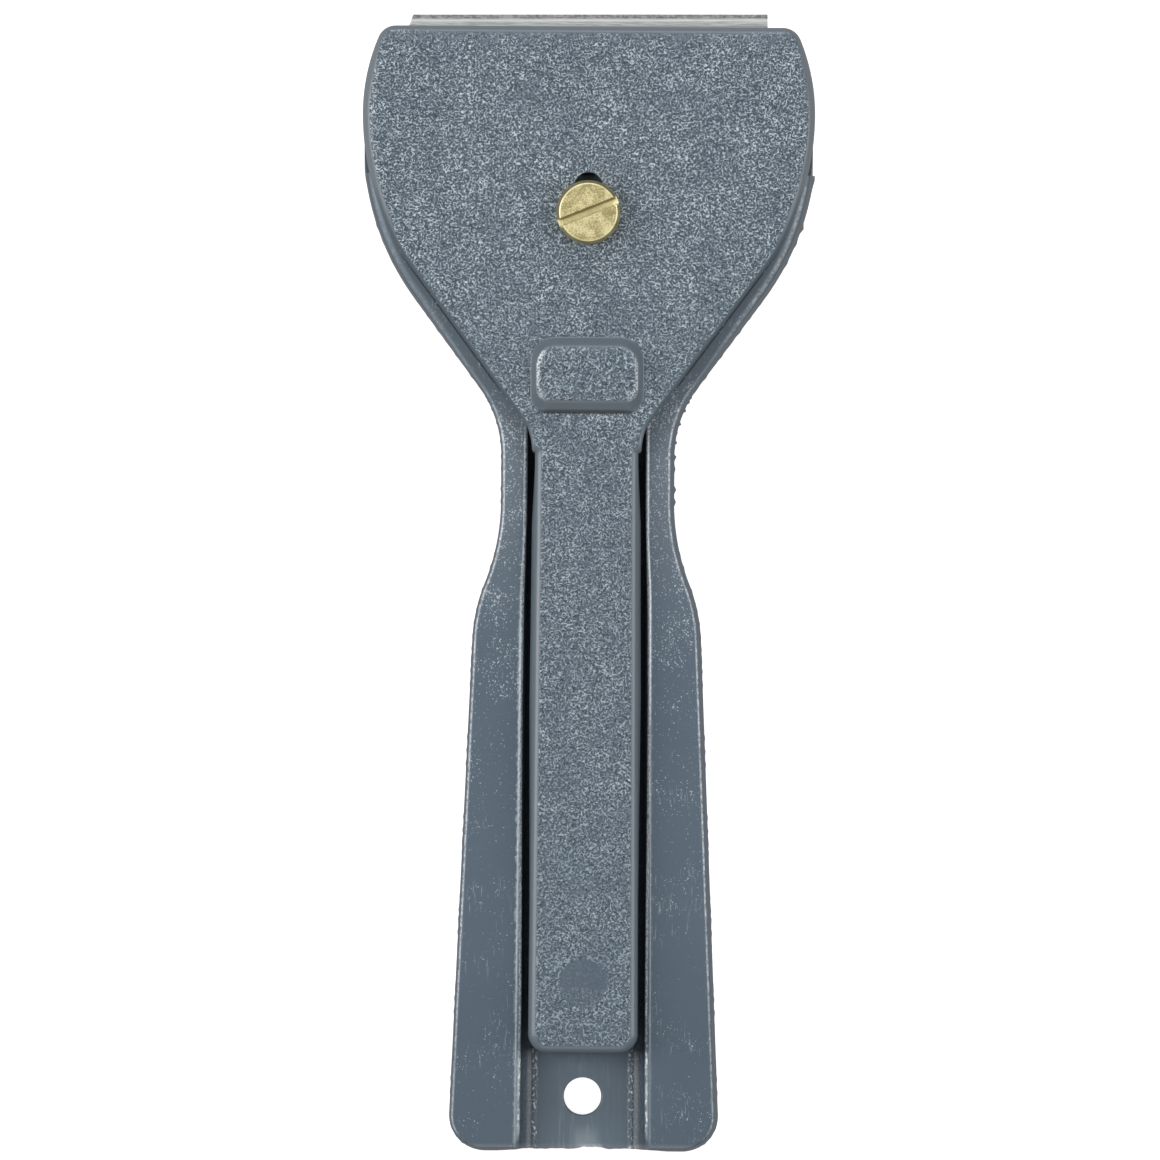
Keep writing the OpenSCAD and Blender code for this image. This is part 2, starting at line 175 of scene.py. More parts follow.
# %% Solids and carving
def solid(name, grid, ends="face"):
    """A closed mesh object over grid[k, i], point i of ring k, in millimetres.

    Quads join each ring to the next. The ends are one "face" each, "strips" between mirrored points, or
    "joined", where the last ring runs into the first. A solid that comes out inside out is turned round.
    """
    rings, size = grid.shape[:2]
    index = np.arange(rings * size).reshape(rings, size)
    lower = index if ends == "joined" else index[:-1]
    upper = np.roll(index, -1, axis=0)[: len(lower)]
    sides = points(lower, upper, np.roll(upper, -1, axis=1), np.roll(lower, -1, axis=1))
    faces = sides.reshape(-1, 4).tolist()
    if ends == "face":
        faces += [index[0].tolist(), index[-1, ::-1].tolist()]
    if ends == "strips":
        here = np.arange(size // 2 - 1)
        strips = points(here, size - 1 - here, size - 2 - here, here + 1)
        faces += strips[:, ::-1].tolist() + (strips + index[-1, 0]).tolist()
    mesh = bpy.data.meshes.new(name)
    mesh.from_pydata((grid.reshape(-1, 3) * MM).tolist(), [], faces)
    measure = bmesh.new()
    measure.from_mesh(mesh)
    if measure.calc_volume(signed=True) < 0:
        mesh.flip_normals()
    measure.free()
    piece = bpy.data.objects.new(name, mesh)
    bpy.context.collection.objects.link(piece)
    return piece


def settle(piece):
    """Replaces the piece's mesh by what its modifiers make of it."""
    bpy.context.view_layer.update()
    shaped = piece.evaluated_get(bpy.context.evaluated_depsgraph_get())
    mesh = bpy.data.meshes.new_from_object(shaped)
    mesh.name = piece.name
    piece.modifiers.clear()
    piece.data = mesh


def carve(piece, tool, operation="DIFFERENCE"):
    """Cuts the tool's solid out of the piece, or joins it on, and removes the tool."""
    change = piece.modifiers.new("carve", "BOOLEAN")
    change.operation = operation
    change.solver = "EXACT"
    change.object = tool
    settle(piece)
    bpy.data.objects.remove(tool)


def soften(piece, angle=35):
    """Shades the piece smooth except over edges sharper than the angle, and keeps its flat faces flat."""
    piece.data.shade_smooth()
    piece.data.set_sharp_from_angle(angle=np.radians(angle))
    weigh = piece.modifiers.new("flat faces stay flat", "WEIGHTED_NORMAL")
    weigh.keep_sharp = True
    print(f"{piece.name}: {len(piece.data.polygons)} faces")


# %% [markdown]
# Cutters are simple solids too: a block between two corners, a shape turned on a lathe, and a slot with
# round ends. They run on beyond the piece, so that no two faces coincide. A cutter that flares out at its
# mouth leaves a rounded edge behind, so the holes and the channel need no bevel afterwards.

# %% Blocks, turned shapes and slots
beyond = 1.0


def levelled(rings, levels):
    """Flat rings lifted to their levels: one level a ring, or one a point. A lone ring serves all levels."""
    levels = np.asarray(levels, dtype=float)
    levels = levels[:, None] if levels.ndim == 1 else levels
    return points(rings[..., 0], rings[..., 1], levels)


def block(low, high):
    """A box between two corners, as two rings of four points."""
    flat = np.array([[low[0], low[1]], [high[0], low[1]], [high[0], high[1]], [low[0], high[1]]])
    return solid("block", levelled(flat, [low[2], high[2]]))


def turned(name, profile, centre, steps=96):
    """A lathe shape: each (radius, level) of the profile is a circle round the upright axis at centre."""
    profile = np.asarray(profile, dtype=float)
    rings = arc(centre, profile[:, 0], 0, 360, last=False, step=360 / steps)
    return solid(name, levelled(rings, profile[:, 1]))


def slot_rings(radii, rear, front):
    """Round-ended slots along Y between two axes, one for each radius, as mirrored outlines."""
    ahead = arc([0, front], radii, 88, 0, step=8)
    behind = arc([0, rear], radii, 0, -88, step=8)
    return whole(np.concatenate([ahead, behind], axis=1))


def lip(radius, level, towards, steps=6):
    """(outward, level) pairs of a quarter round that flares a cutter's mouth out at a level.

    towards is 1 where the mouth opens upwards and -1 where it opens downwards. The curve starts at 15
    degrees to the open face, so that the cut is clean.
    """
    turn = np.radians(np.linspace(180, 105, steps))
    out = radius * (1 + np.cos(turn))
    up = radius * (np.sin(turn) - np.sin(turn[-1]))
    return points(out, level + towards * up)[:: towards]


# %% [markdown]
# ## The guard
#
# The guard is the top moulding: a fan-shaped plate over the blade, with a thumb pad and a long tongue that
# slides in the handle's channel. It could be extruded and bevelled, but a bevel tears where the tongue
# meets the fan. Stacked rings round the edge everywhere, by a radius that may change along the outline: it
# is large on the head's sides and small along the fan's slopes. The lower levels differ from point to point
# as well, so the tongue is deep, the plate is thin and the block that presses on the blade lies between.

# %% The guard's outline
root_half = 6.75
root_step_half = 6.15
root_len = 2.7
root_step_run = 0.35
root_hollow = 0.12
hook_out = 0.06
tongue_half_root = 5.8
tongue_half_tail = 6.1
tongue_corner_r = 2.1
guard_front = guard_high[1] + guard_inset
guard_tail = guard_low[1]
tongue_corner = [tongue_half_tail - tongue_corner_r, guard_tail + tongue_corner_r]
slope = np.radians(fan_angle)


def root_start(insets):
    """Where the fan's straight edge, drawn in by the inset, meets the root's edge."""
    ends = (head_fan_r - insets - guard_inset)[:, None] * [np.cos(slope), -np.sin(slope)]
    ends = fan_centre(guard_front) + ends
    x = root_half - insets
    return points(x, ends[:, 1] - (ends[:, 0] - x) * (1 / np.tan(slope)))


root_y = root_start(np.zeros(1))[0, 1]
step_y = root_y - root_len


def tongue_half(y):
    """Half width of the tongue at y: it widens evenly from its root to its tail."""
    share = (step_y - y) / (step_y - guard_tail)
    return tongue_half_root + (tongue_half_tail - tongue_half_root) * share


def guard_half(insets):
    """Right half of the guard's outline: head, straight slope, hollow root, a small hook and the tongue."""
    head = head_half(guard_front, insets + guard_inset)
    start = root_start(insets)
    step = points(root_step_half - insets, step_y + insets)
    under = points(tongue_half_root - insets, step_y - root_step_run + insets)
    hook = (step + under) / 2 + [hook_out, -hook_out]
    tail = arc(tongue_corner, tongue_corner_r - insets, 0, -90, step=6)
    root = between(start, step, 0.3)
    share = np.linspace(0, np.pi, root.shape[1] + 2)[1:-1]
    root = root - points(root_hollow * np.sin(share), 0)
    return np.concatenate([
        head, between(head[:, -1], start), start[:, None], root, step[:, None], hook[:, None],
        under[:, None], between(under, tail[:, 0]), tail,
    ], axis=1)


print(f"tongue: root at {root_y:.1f}, step at {step_y:.1f}, tail at {guard_tail:.1f} mm")

# %% The guard's plate, block and tongue in one stack
guard_edge_r = 0.95
fan_edge_r = 0.45
side_edge_r = 1.6
guard_foot = 0.2
travel_back = 2.9
block_clear = 0.3
block_y = platform_y + travel_back + block_clear
block_z = blade_high[2] + rest_gap
tongue_z = guard_low[2]
parting_z = guard_bottom + 0.85
edge_at = [step_y - 0.5, step_y + 0.5, 38, 46, 58, guard_front - 0.6]
edge_by = [guard_edge_r, fan_edge_r, fan_edge_r, side_edge_r, side_edge_r, guard_edge_r]
lean_at = [guard_tail, -36, -24, -13, 7, step_y - 1.5]
lean_by = [0.08, 0.08, 0.2, 0.32, 0.27, 0]
underside_at = [step_y - 1.2, step_y - 0.5, block_y, block_y + 0.8]
underside_by = [tongue_z, guard_bottom, guard_bottom, block_z]
quarter = np.radians(np.linspace(0, 90, 9))


def guard_rings(edge_r):
    """The guard's whole outline at its foot, its parting line and each level of a round edge."""
    return whole(guard_half(np.concatenate([[guard_foot, 0, 0], edge_r * (1 - np.cos(quarter))])))


def edged(rings, top, stations, radii):
    """Rings with an edge radius read at each point's y from a table, and the levels of that edge.

    An outline changes evenly with its inset, so radius times the change from radius 0 to 1 is added.
    """
    sharp = rings(0.0)
    edge_r = np.interp(sharp[0, :, 1], stations, radii)
    levels = top - edge_r * (1 - np.sin(quarter))[:, None]
    return sharp + edge_r[:, None] * (rings(1.0) - sharp), levels


outline, edge_levels = edged(guard_rings, guard_top, edge_at, edge_by)
y = outline[0, :, 1]
outline[:3, :, 0] += np.sign(outline[:3, :, 0]) * np.interp(y, lean_at, lean_by)
underside = np.interp(y, underside_at, underside_by)
levels = np.concatenate([
    [underside, underside + guard_foot, np.full(len(y), parting_z)],
    edge_levels,
])
guard = solid("guard_moulding", levelled(outline, levels), ends="strips")
print("guard stack:", outline.shape[0], "rings of", outline.shape[1], "points")

# %% [markdown]
# The thumb pad is a stack of rounded rectangles. Its foot runs into the plate in a small hollow, its ends
# slope more than its sides, and its top edge is round. It is joined to the plate as one moulding.

# %% The thumb pad
pad_half = np.array([6.3, 4.17])
pad_from_front = 35.1
pad_y = guard_front - pad_from_front - pad_half[1]
pad_front_r = 2.75
pad_rear_r = 2.0
pad_side_run = 0.6
pad_front_run = 1.0
pad_rear_run = 1.6
pad_round = 0.65
pad_foot = 0.15
pad_sunk = 0.6
pad_h = guard_high[2] - guard_top


def bend(first, corner, last, steps=7):
    """Points on a curve that leaves first towards corner and reaches last from it: a quadratic blend."""
    share = np.linspace(0, 1, steps)[:, None]
    first, corner, last = np.asarray(first), np.asarray(corner), np.asarray(last)
    return first * (1 - share) ** 2 + corner * 2 * share * (1 - share) + last * share ** 2


def rounded_rectangle(*rows):
    """Rounded rectangles, one for each row of half width, front, rear, front radius and rear radius.

    Each corner is a quarter circle, and the outlines are mirrored.
    """
    turn = np.radians(np.linspace(90, 0, 12))
    x, front, rear, front_r, rear_r = (row[:, None] for row in rows)
    ahead = points(x - front_r * (1 - np.cos(turn)), front - front_r * (1 - np.sin(turn)))
    behind = points(x - rear_r * (1 - np.cos(turn)), rear + rear_r * (1 - np.sin(turn)))
    return whole(np.concatenate([ahead, behind[:, ::-1]], axis=1))


pad_slope = np.concatenate([
    [[-pad_foot, -pad_sunk]],
    bend([-pad_foot, -0.01], [0.0, 0.0], [pad_foot / pad_h, pad_foot], 5),
    bend([0.55, 0.55 * pad_h], [1.0, pad_h], [1 + pad_round, pad_h], 9),
])
into = np.clip(pad_slope[:, 0], 0, 1)
past = pad_slope[:, 0] - into
pad_rings = rounded_rectangle(
    pad_half[0] - pad_side_run * into - past,
    pad_y + pad_half[1] - pad_front_run * into - past,
    pad_y - pad_half[1] + pad_rear_run * into + past,
    pad_front_r - 0.45 * into - 0.3 * past,
    pad_rear_r - 0.5 * into - 0.4 * past,
)
pad = solid("pad", levelled(pad_rings, guard_top + pad_slope[:, 1]), ends="strips")
carve(guard, pad, "UNION")
print(f"thumb pad: {2 * pad_half[0]:.1f} by {2 * pad_half[1]:.1f} mm, {pad_h:.1f} mm high")

# %% [markdown]
# The screw passes through a slot that is longer than the screw is thick by the guard's travel. The block has
# reliefs for the two pins that hold the blade, long enough for the travel, and the tongue is hollow
# underneath, as mouldings are where they would be too thick.

# %% The screw's slot, the pins' reliefs and the hollow under the tongue
screw_d = 3.0
screw_play = 0.1
slot_r = screw_d / 2 + screw_play
travel_forward = 2.0
pin_span = 26.0
pin_r = 1.45
pin_y = (blade_low[1] + blade_high[1]) / 2
pin_top = handle_high[2]
relief_gap = 0.15
tongue_wall = 1.6
hollow_front = step_y - 3

mouth = np.concatenate([[[0, guard_bottom - beyond]], lip(0.06, guard_top, 1), [[0.08, guard_top + beyond]]])
slot = slot_rings(slot_r + mouth[:, 0], screw_y - travel_forward, screw_y + travel_back)
carve(guard, solid("slot", levelled(slot, mouth[:, 1]), ends="strips"))
for side in (-1, 1):
    relief = slot_rings(pin_r + relief_gap, pin_y - travel_forward, pin_y + travel_back)
    relief = levelled(relief + [side * pin_span / 2, 0], [block_z - beyond, pin_top + relief_gap])
    carve(guard, solid("relief", relief, ends="strips"))
hollow = whole(np.concatenate([
    [[[tongue_half_root - tongue_wall, hollow_front]]],
    arc(tongue_corner, tongue_corner_r - tongue_wall, 0, -90, step=30),
], axis=1))
carve(guard, solid("hollow", levelled(hollow, [tongue_z - beyond, guard_bottom]), ends="strips"))
soften(guard)

# %% [markdown]
# ## The handle
#
# The handle is the lower moulding: a fan-shaped head, a neck and a flared grip whose two rails leave an open
# channel for the tongue. Its sides lean in a little towards the top, as a moulding must to leave its mould,
# its top edge is rounder on the head than on the grip, and a ragged thread of flash stands out where the two
# halves of the mould met. The halves were a little out of line, so everything up to that thread lies
# further to the right. The block is a stack of rings again, and everything else is carved out of it.

# %% The handle's outline
blade_reach = 4.3
head_front = edge_y - blade_reach
neck_half = 9.77
neck_fillet_r = 13.0
neck_len = 5.1
grip_half = 12.9
shoulder_hollow_r = 25.0
shoulder_round_r = 19.4
grip_flare = 2.42
tail_corner_r = 4.0

flare = np.radians(grip_flare)
fan_end = fan_centre(head_front) + head_fan_r * np.array([np.cos(slope), -np.sin(slope)])
neck_x = neck_half + neck_fillet_r
neck_y = fan_end[1] + ((neck_x - fan_end[0]) * np.cos(slope) - neck_fillet_r) / np.sin(slope)
hollow_centre = np.array([neck_half + shoulder_hollow_r, neck_y - neck_len])
both_r = shoulder_hollow_r + shoulder_round_r
shoulder = np.arccos((shoulder_hollow_r + shoulder_round_r * np.cos(flare) - grip_half + neck_half) / both_r)
round_centre = hollow_centre - both_r * np.array([np.cos(shoulder), np.sin(shoulder)])
grip_start = round_centre + shoulder_round_r * np.array([np.cos(flare), np.sin(flare)])
corner_y = tail_y + tail_corner_r
corner_x = grip_start[0] - (tail_corner_r + (corner_y - grip_start[1]) * np.sin(flare)) / np.cos(flare)


def handle_half(insets):
    """Right half of the handle's outline: head, neck fillet, the shoulder's two curves, grip and tail.

    The neck's fillet and the shoulder's hollow curve inwards, so their radii grow with the inset.
    """
    turned_in = np.degrees(shoulder)
    head = head_half(head_front, insets)
    neck = arc([neck_x, neck_y], neck_fillet_r + insets, 180 - fan_angle, 180)
    hollow = arc(hollow_centre, shoulder_hollow_r + insets, 180, 180 + turned_in, last=False)
    round_off = arc(round_centre, shoulder_round_r - insets, turned_in, grip_flare)
    tail = arc([corner_x, corner_y], tail_corner_r - insets, grip_flare, -90, step=5)
    return np.concatenate([
        head, between(head[:, -1], neck[:, 0]), neck, between(neck[:, -1], hollow[:, 0]), hollow,
        round_off, between(round_off[:, -1], tail[:, 0]), tail,
    ], axis=1)


print(f"handle: neck at {neck_y:.1f}, grip from {grip_start[1]:.1f} to {tail_y:.1f} mm")

# %% The handle's block
handle_edge_r = 0.42
shoulder_edge_r = 1.0
handle_draft = 0.3
mould_shift = 0.13
handle_foot = 0.4
parting_level = handle_foot + 0.25
ramp_len = 6.0
ramp_top = platform_z - 1.4
flash_reach = 0.15
flash_left = 0.3
flash_at = [6, 8, 21, 23, 34, 36, 50, 52]
flash_by = [0.3, 1, 1, 0.4, 0.4, 1, 1, 0.3]

foot = np.radians(np.linspace(0, 90, 4))
foot_insets = handle_foot * (1 - np.sin(foot))
foot_levels = handle_foot * (1 - np.cos(foot))
parting = len(foot)


def handle_rings(edge_r):
    """The handle's whole outline at its foot, its parting line and each level of a round edge."""
    edge_insets = handle_draft + edge_r * (1 - np.cos(quarter))
    return whole(handle_half(np.concatenate([foot_insets, [0.0], edge_insets])))


outline, edge_levels = edged(handle_rings, handle_top, [24, 32], [handle_edge_r, shoulder_edge_r])
y = outline[0, :, 1]
rise = ramp_top * np.clip((y - head_front + ramp_len) / ramp_len, 0, 1)
levels = np.concatenate([foot_levels[:, None] + rise, [parting_level + rise], edge_levels])
waves = np.sin(4.9 * y) + np.sin(8.3 * y + 1.3) + np.sin(11.9 * y + 0.4)
ragged = np.where(outline[0, :, 0] > 0, np.interp(y, flash_at, flash_by), flash_left)
flash = flash_reach * ragged * np.clip(waves - 0.5, 0, 1.5)
normal = outline[parting] - outline[-1]
normal = normal / np.linalg.norm(normal, axis=1, keepdims=True)
outline[parting] += flash[:, None] * normal
outline[: parting + 1, :, 0] += mould_shift
handle = solid("handle_moulding", levelled(outline, levels), ends="strips")
print("handle stack:", outline.shape[0], "rings of", outline.shape[1], "points")

# %% [markdown]
# The blade lies on a platform: the front of the head, one millimetre lower than the rest. The cutter is a
# shape drawn from the side and carried across the head, with a rounded shoulder so that the step has a soft
# edge like the one in the photograph. Two pins on the platform hold the blade by its holes.

# %% The blade's platform and its pins
platform_half = 25.25
shoulder_lip_r = 0.45
pin_sunk = 0.5
pin_chamfer = 0.2


def across(side_view, half):
    """A cutter with the same side view all the way across, as two rings of (y, level) points."""
    ring = points(0, side_view[:, 0], side_view[:, 1])
    return solid("across", np.stack([ring - [half, 0, 0], ring + [half, 0, 0]]))


shoulder_lip = lip(shoulder_lip_r, handle_top, 1)
side_view = np.concatenate([
    [[head_front + beyond, platform_z], [platform_y, platform_z]],
    points(platform_y - shoulder_lip[:, 0], shoulder_lip[:, 1]),
    [[platform_y - shoulder_lip_r, handle_top + beyond], [head_front + beyond, handle_top + beyond]],
])
carve(handle, across(side_view, head_half_w + beyond))
pin = [[pin_r, platform_z - pin_sunk], [pin_r, pin_top - pin_chamfer], [pin_r - pin_chamfer, pin_top]]
for side in (-1, 1):
    inner, outer = sorted([side * platform_half, side * (head_half_w + beyond)])
    carve(handle, block([inner, platform_y, -beyond], [outer, head_front + beyond, handle_top + beyond]))
    carve(handle, turned("pin", pin, [side * pin_span / 2, pin_y], steps=32), "UNION")
print(f"platform: {head_front - platform_y:.1f} mm deep, pins {pin_span:.0f} mm apart")

# %% [markdown]
# The channel is one cross section carried down the grip. It has a rounded lip at the top, an upright wall, a
# wide hollow curve at the foot and a flat floor, and it widens with the tongue. The same lip rounds the edge
# of the hanging hole, which is a plain turned cutter.

# %% The channel and the hanging hole
tongue_gap = 1.05
floor_z = 1.8
channel_foot_r = 1.75
channel_lip_r = 0.5
wall_lean = 0.27
lip_at = [tail_y - 1, tail_y + 0.3, tail_y + 1.4, -47, -24, -13, -2, 7, 13]
lip_out = [0.8, 0.25, -0.17, -0.2, 0.0, 0.05, 0.0, -0.22, -0.23]
hang_y = tail_y + 6.2
hang_r = 2.1
hang_lip_r = 0.3
channel_front = root_y + travel_forward + tongue_gap


def channel_section(y):
    """Right half of the channel's section at each y, from the lip down to the floor, as points in space.

    Each point is the wall's half width at that y plus its own offset. The lip also moves out by an amount
    that depends on y, and the foot moves in by a fixed one, so the wall leans.
    """
    opening = lip(channel_lip_r, handle_top, 1)[::-1]
    opening = np.concatenate([[[channel_lip_r, handle_top + beyond]], opening])
    foot = arc([-channel_foot_r, floor_z + channel_foot_r], channel_foot_r, 0, -90, step=10)[0]
    offsets = np.concatenate([opening, foot])
    lip_moves = np.interp(y, lip_at, lip_out)[:, None]
    leans = np.where(np.arange(len(offsets)) < len(opening), lip_moves, -wall_lean)
    wall = tongue_half(y) + tongue_gap
    return points(wall[:, None] + leans + offsets[:, 0], y[:, None], offsets[:, 1])


stations = np.concatenate([
    np.linspace(channel_front, tail_y + 2, 60),
    np.linspace(tail_y + 1.6, tail_y - beyond, 10),
])
section = channel_section(stations)
section = np.concatenate([section, section[:, ::-1] * [-1, 1, 1]], axis=1)
carve(handle, solid("channel", section))
hole = np.concatenate([
    [[hang_r + hang_lip_r, -beyond]],
    [hang_r, 0] + lip(hang_lip_r, 0, -1),
    [hang_r, 0] + lip(hang_lip_r, floor_z, 1),
    [[hang_r + hang_lip_r, floor_z + beyond]],
])
carve(handle, turned("hanging_hole", hole, [0, hang_y]))
print(f"channel: {2 * (tongue_half(tail_y) + tongue_gap):.1f} mm wide at the tail")

# %% [markdown]
# The plastic entered the mould at the tail. There the channel's floor ends a little short of the rails, with
# a wavy edge and a shallow chip where the gate was broken off. A cutter with a wavy side leaves both.

# %% The tail's recess and the gate's chip
recess = 0.27
recess_half = 9.5
recess_run = 3.0
gate_x = 0.95
gate_half = 1.95
gate_run = 0.8


def recess_depth(x):
    """How far the floor's end lies in from the tail: a soft dip, small waves and the gate's chip."""
    dip = recess * np.clip((recess_half - abs(x)) / recess_run, 0, 1)
    waves = 0.03 * np.sin(1.7 * x) + 0.02 * np.sin(5.3 * x + 1)
    chip = np.clip((gate_half - abs(x - gate_x)) / gate_run, 0, 1)
    chip = chip * (0.18 + 0.03 * np.sin(4.3 * x) + 0.02 * np.sin(9 * x))
    return dip + waves * dip / recess + chip


x = np.linspace(-recess_half, recess_half, 140)
notch = np.concatenate([
    points(x, tail_y + recess_depth(x)),
    [[recess_half, tail_y - beyond], [-recess_half, tail_y - beyond]],
])
carve(handle, solid("notch", levelled(notch, [-beyond, handle_top + beyond])))
print(f"recess: up to {recess_depth(x).max():.2f} mm deep")

# %% [markdown]
# Underneath, the handle is cored out into cells, as mouldings are, so that no wall is much thicker than the
# next and the plastic cools evenly. Each cell is a rounded section carried along the handle between an inner
# wall and an outer wall that follows the outline.

# %% The cells under the handle
wall_t = 1.8
rib_t = 1.2
channel_wall_t = 1.5
boss_half = 6.0
rail_cells = 4
tail_solid = 4.5
roof_r = 0.5
least_cell_w = 1.2
inner_outline = handle_half(np.full(1, wall_t))[0, ::-1]


def cell(side, rear, front, inner, top):
    """A cell's cutter on one side, from rear to front, with the inner wall's half width given at each end.

    At every y its section runs from the inner wall to the outline drawn in by the wall, with a rounded roof.
    """
    y = np.linspace(rear, front, 24)
    near = np.interp(y, [rear, front], inner)
    far = np.interp(y, inner_outline[:, 1], inner_outline[:, 0])
    outer_roof = arc([-roof_r, top - roof_r], roof_r, 0, 90, step=30)[0]
    inner_roof = arc([roof_r, top - roof_r], roof_r, 90, 180, step=30)[0]
    shape = np.concatenate([[[0, -beyond], [0, -beyond]], outer_roof, inner_roof])
    outer_side = np.array([0, 1] + [1] * len(outer_roof) + [0] * len(inner_roof))
    x = np.where(outer_side, far[:, None], near[:, None]) + shape[:, 0]
    return solid("cell", points(side * x, y[:, None], shape[:, 1]))


boss_front = screw_y + boss_half
boss_rear = screw_y - boss_half
head_cells = [
    (boss_front + rib_t / 2, head_front - ramp_len - wall_t, rib_t / 2),
    (boss_rear + rib_t / 2, boss_front - rib_t, boss_half),
    (channel_front + wall_t + rib_t / 2, boss_rear - rib_t, rib_t / 2),
]
along = np.linspace(hollow_centre[1], tail_y, 400)
room = np.interp(along, inner_outline[:, 1], inner_outline[:, 0])
room = room - tongue_half(along) - tongue_gap - channel_wall_t
rail_front = along[np.argmax(room > least_cell_w)]
rail_pitch = (rail_front - tail_y - tail_solid + rib_t) / rail_cells
for side in (-1, 1):
    for rear, front, inner in head_cells:
        carve(handle, cell(side, rear, front, [inner, inner], platform_z - wall_t))
    for count in range(rail_cells):
        front = rail_front - count * rail_pitch
        rear = front - rail_pitch + rib_t
        inner = tongue_half(np.array([rear, front])) + tongue_gap + channel_wall_t
        carve(handle, cell(side, rear, front, inner, handle_top - wall_t))
print("cells:", 2 * (len(head_cells) + rail_cells))

# %% [markdown]
# The screw's hole goes straight down through the head, into a pocket with six sides in the back. The pocket
# keeps the nut from turning, so that one hand and a driver are enough.

# %% The nut's pocket and the screw's hole
nut_flats = 5.5
nut_play = 0.3
pocket_r = (nut_flats + nut_play) / 2 / np.cos(np.radians(30))
carve(handle, turned("pocket", [[pocket_r, -beyond], [pocket_r, nut_high[2]]], [0, screw_y], steps=6))
carve(handle, turned("hole", [[slot_r, 0], [slot_r, handle_top + beyond]], [0, screw_y], steps=48))
soften(handle)

# %% [markdown]
# ## The screw and the nut
#
# A thread is a surface of two parameters: the angle round the axis and the height along it. The radius
# swings between the core and the crest once for each pitch, and adding the angle to the swing makes it
# climb like a thread does. The head is turned on the same axis, and a straight cutter saws its slot.

# %% The thread
thread_pitch = 0.5
thread_depth = 0.3
round_axis = np.linspace(0, 2 * np.pi, 48, endpoint=False)


def threaded(levels, crest, depth):
    """Rings of radius crest - depth * (1 + cos(2 pi level / pitch - angle)) / 2 at each level and angle."""
    swing = np.cos(2 * np.pi * levels[:, None] / thread_pitch - round_axis)
    radius = np.reshape(crest, (-1, 1)) - np.reshape(depth, (-1, 1)) * (1 + swing) / 2
    return points(radius * np.cos(round_axis), screw_y + radius * np.sin(round_axis), levels[:, None])


def turning(angle):
    """The matrix that turns rows of (x, y) by an angle."""
    return np.array([[np.cos(angle), np.sin(angle)], [-np.sin(angle), np.cos(angle)]])


# %% The screw
head_r = screw_high[0]
head_bottom = guard_top + rest_gap
head_top = screw_high[2]
face_r = 3.22
head_chamfer = 0.15
inside_shank = 1.2
shank_overlap = 0.3
driver_w = 1.05
driver_slant = 0.22
driver_depth = 1.0
driver_foot = 0.3
blunt_w = 0.05
tilt = np.radians(22.0)
tip_len = 0.4
tip_taper = 0.35

head_profile = np.concatenate([
    [[inside_shank, head_bottom], [head_r - head_chamfer, head_bottom]],
    [[head_r, head_bottom + head_chamfer]],
    bend([head_r, head_top - 1.1], [head_r, head_top - 0.7], [face_r + 0.1, head_top - 0.16], 7),
    bend([face_r + 0.07, head_top - 0.08], [face_r + 0.04, head_top], [face_r - 0.08, head_top], 5),
])
screw = turned("screw", head_profile, [0, screw_y], steps=128)
saw = np.array([[-1, -1], [1, -1], [1, 1], [-1, 1]]) * [head_r + beyond, driver_w / 2]
saw_levels = np.array([head_top - driver_depth, head_top - driver_depth + driver_foot, head_top + beyond])
slant = driver_slant * np.clip((head_top - saw_levels) / (driver_depth - driver_foot), 0, 1)
saw = saw + slant[:, None, None] * np.array([[0, 1], [0, 1], [0, 0], [0, 0]])
carve(screw, solid("saw", levelled(saw @ turning(tilt) + [0, screw_y], saw_levels)))
blunt = screw.modifiers.new("blunt edges", "BEVEL")
blunt.width = blunt_w * MM
blunt.segments = 2
blunt.limit_method = "ANGLE"
blunt.angle_limit = np.radians(50)
settle(screw)
shank_levels = np.linspace(screw_low[2], head_bottom + shank_overlap, 140)
tip = np.clip((shank_levels - screw_low[2]) / tip_len, 0, 1)
shank = threaded(shank_levels, screw_d / 2 - tip_taper * (1 - tip), thread_depth * tip)
carve(screw, solid("shank", shank), "UNION")
soften(screw)

# %% [markdown]
# The nut is one grid that closes on itself: up the bore, out over the top, down the six flats and back
# underneath. A hexagon's radius is its half width over the cosine of the angle from the nearest flat. Taking
# the lesser of that and a cone near each end gives the curved chamfers of a real nut.

# %% The nut
bore_crest = screw_d / 2 + rest_gap
cone_start = 0.02
cone_rise = 1.7
half_flat = np.pi / 6
nut_levels = np.linspace(nut_low[2], nut_high[2], 41)
from_flat = (round_axis + half_flat) % (2 * half_flat) - half_flat
end_gap = np.minimum(nut_levels - nut_low[2], nut_high[2] - nut_levels)
cone = nut_flats / 2 + cone_start + cone_rise * end_gap[:, None]
outer_r = np.minimum(nut_flats / 2 / np.cos(from_flat), cone)
direction = points(np.cos(round_axis + half_flat), np.sin(round_axis + half_flat))
outer = levelled(outer_r[..., None] * direction + [0, screw_y], nut_levels)
bore = threaded(nut_levels, bore_crest + thread_depth / 2, thread_depth / 2)
bore = np.roll(bore, -len(round_axis) // 12, axis=1)
nut = solid("nut", np.concatenate([bore, outer[::-1]]), ends="joined")
soften(nut)

# %% [markdown]
# ## The blade
#
# The blade is a strip of steel with one clipped corner, ground to a bevel and honed to a finer facet at the
# very edge. It is loose on its pins by a fraction of a millimetre, and in the photograph it lies turned by a
# third of a degree against the handle. The strip is one side view carried along X, and the clip cuts the
# first few sections short.

# %% The blade
blade_turn = np.radians(0.38)
blade_shift = np.array([-0.15, 0.02])
blade_t = blade_high[2] - blade_low[2]
clip_run = 0.6
clip_len = 1.5
honed_depth = 0.45
ground_depth = 1.3
pin_hole_r = pin_r + 0.35

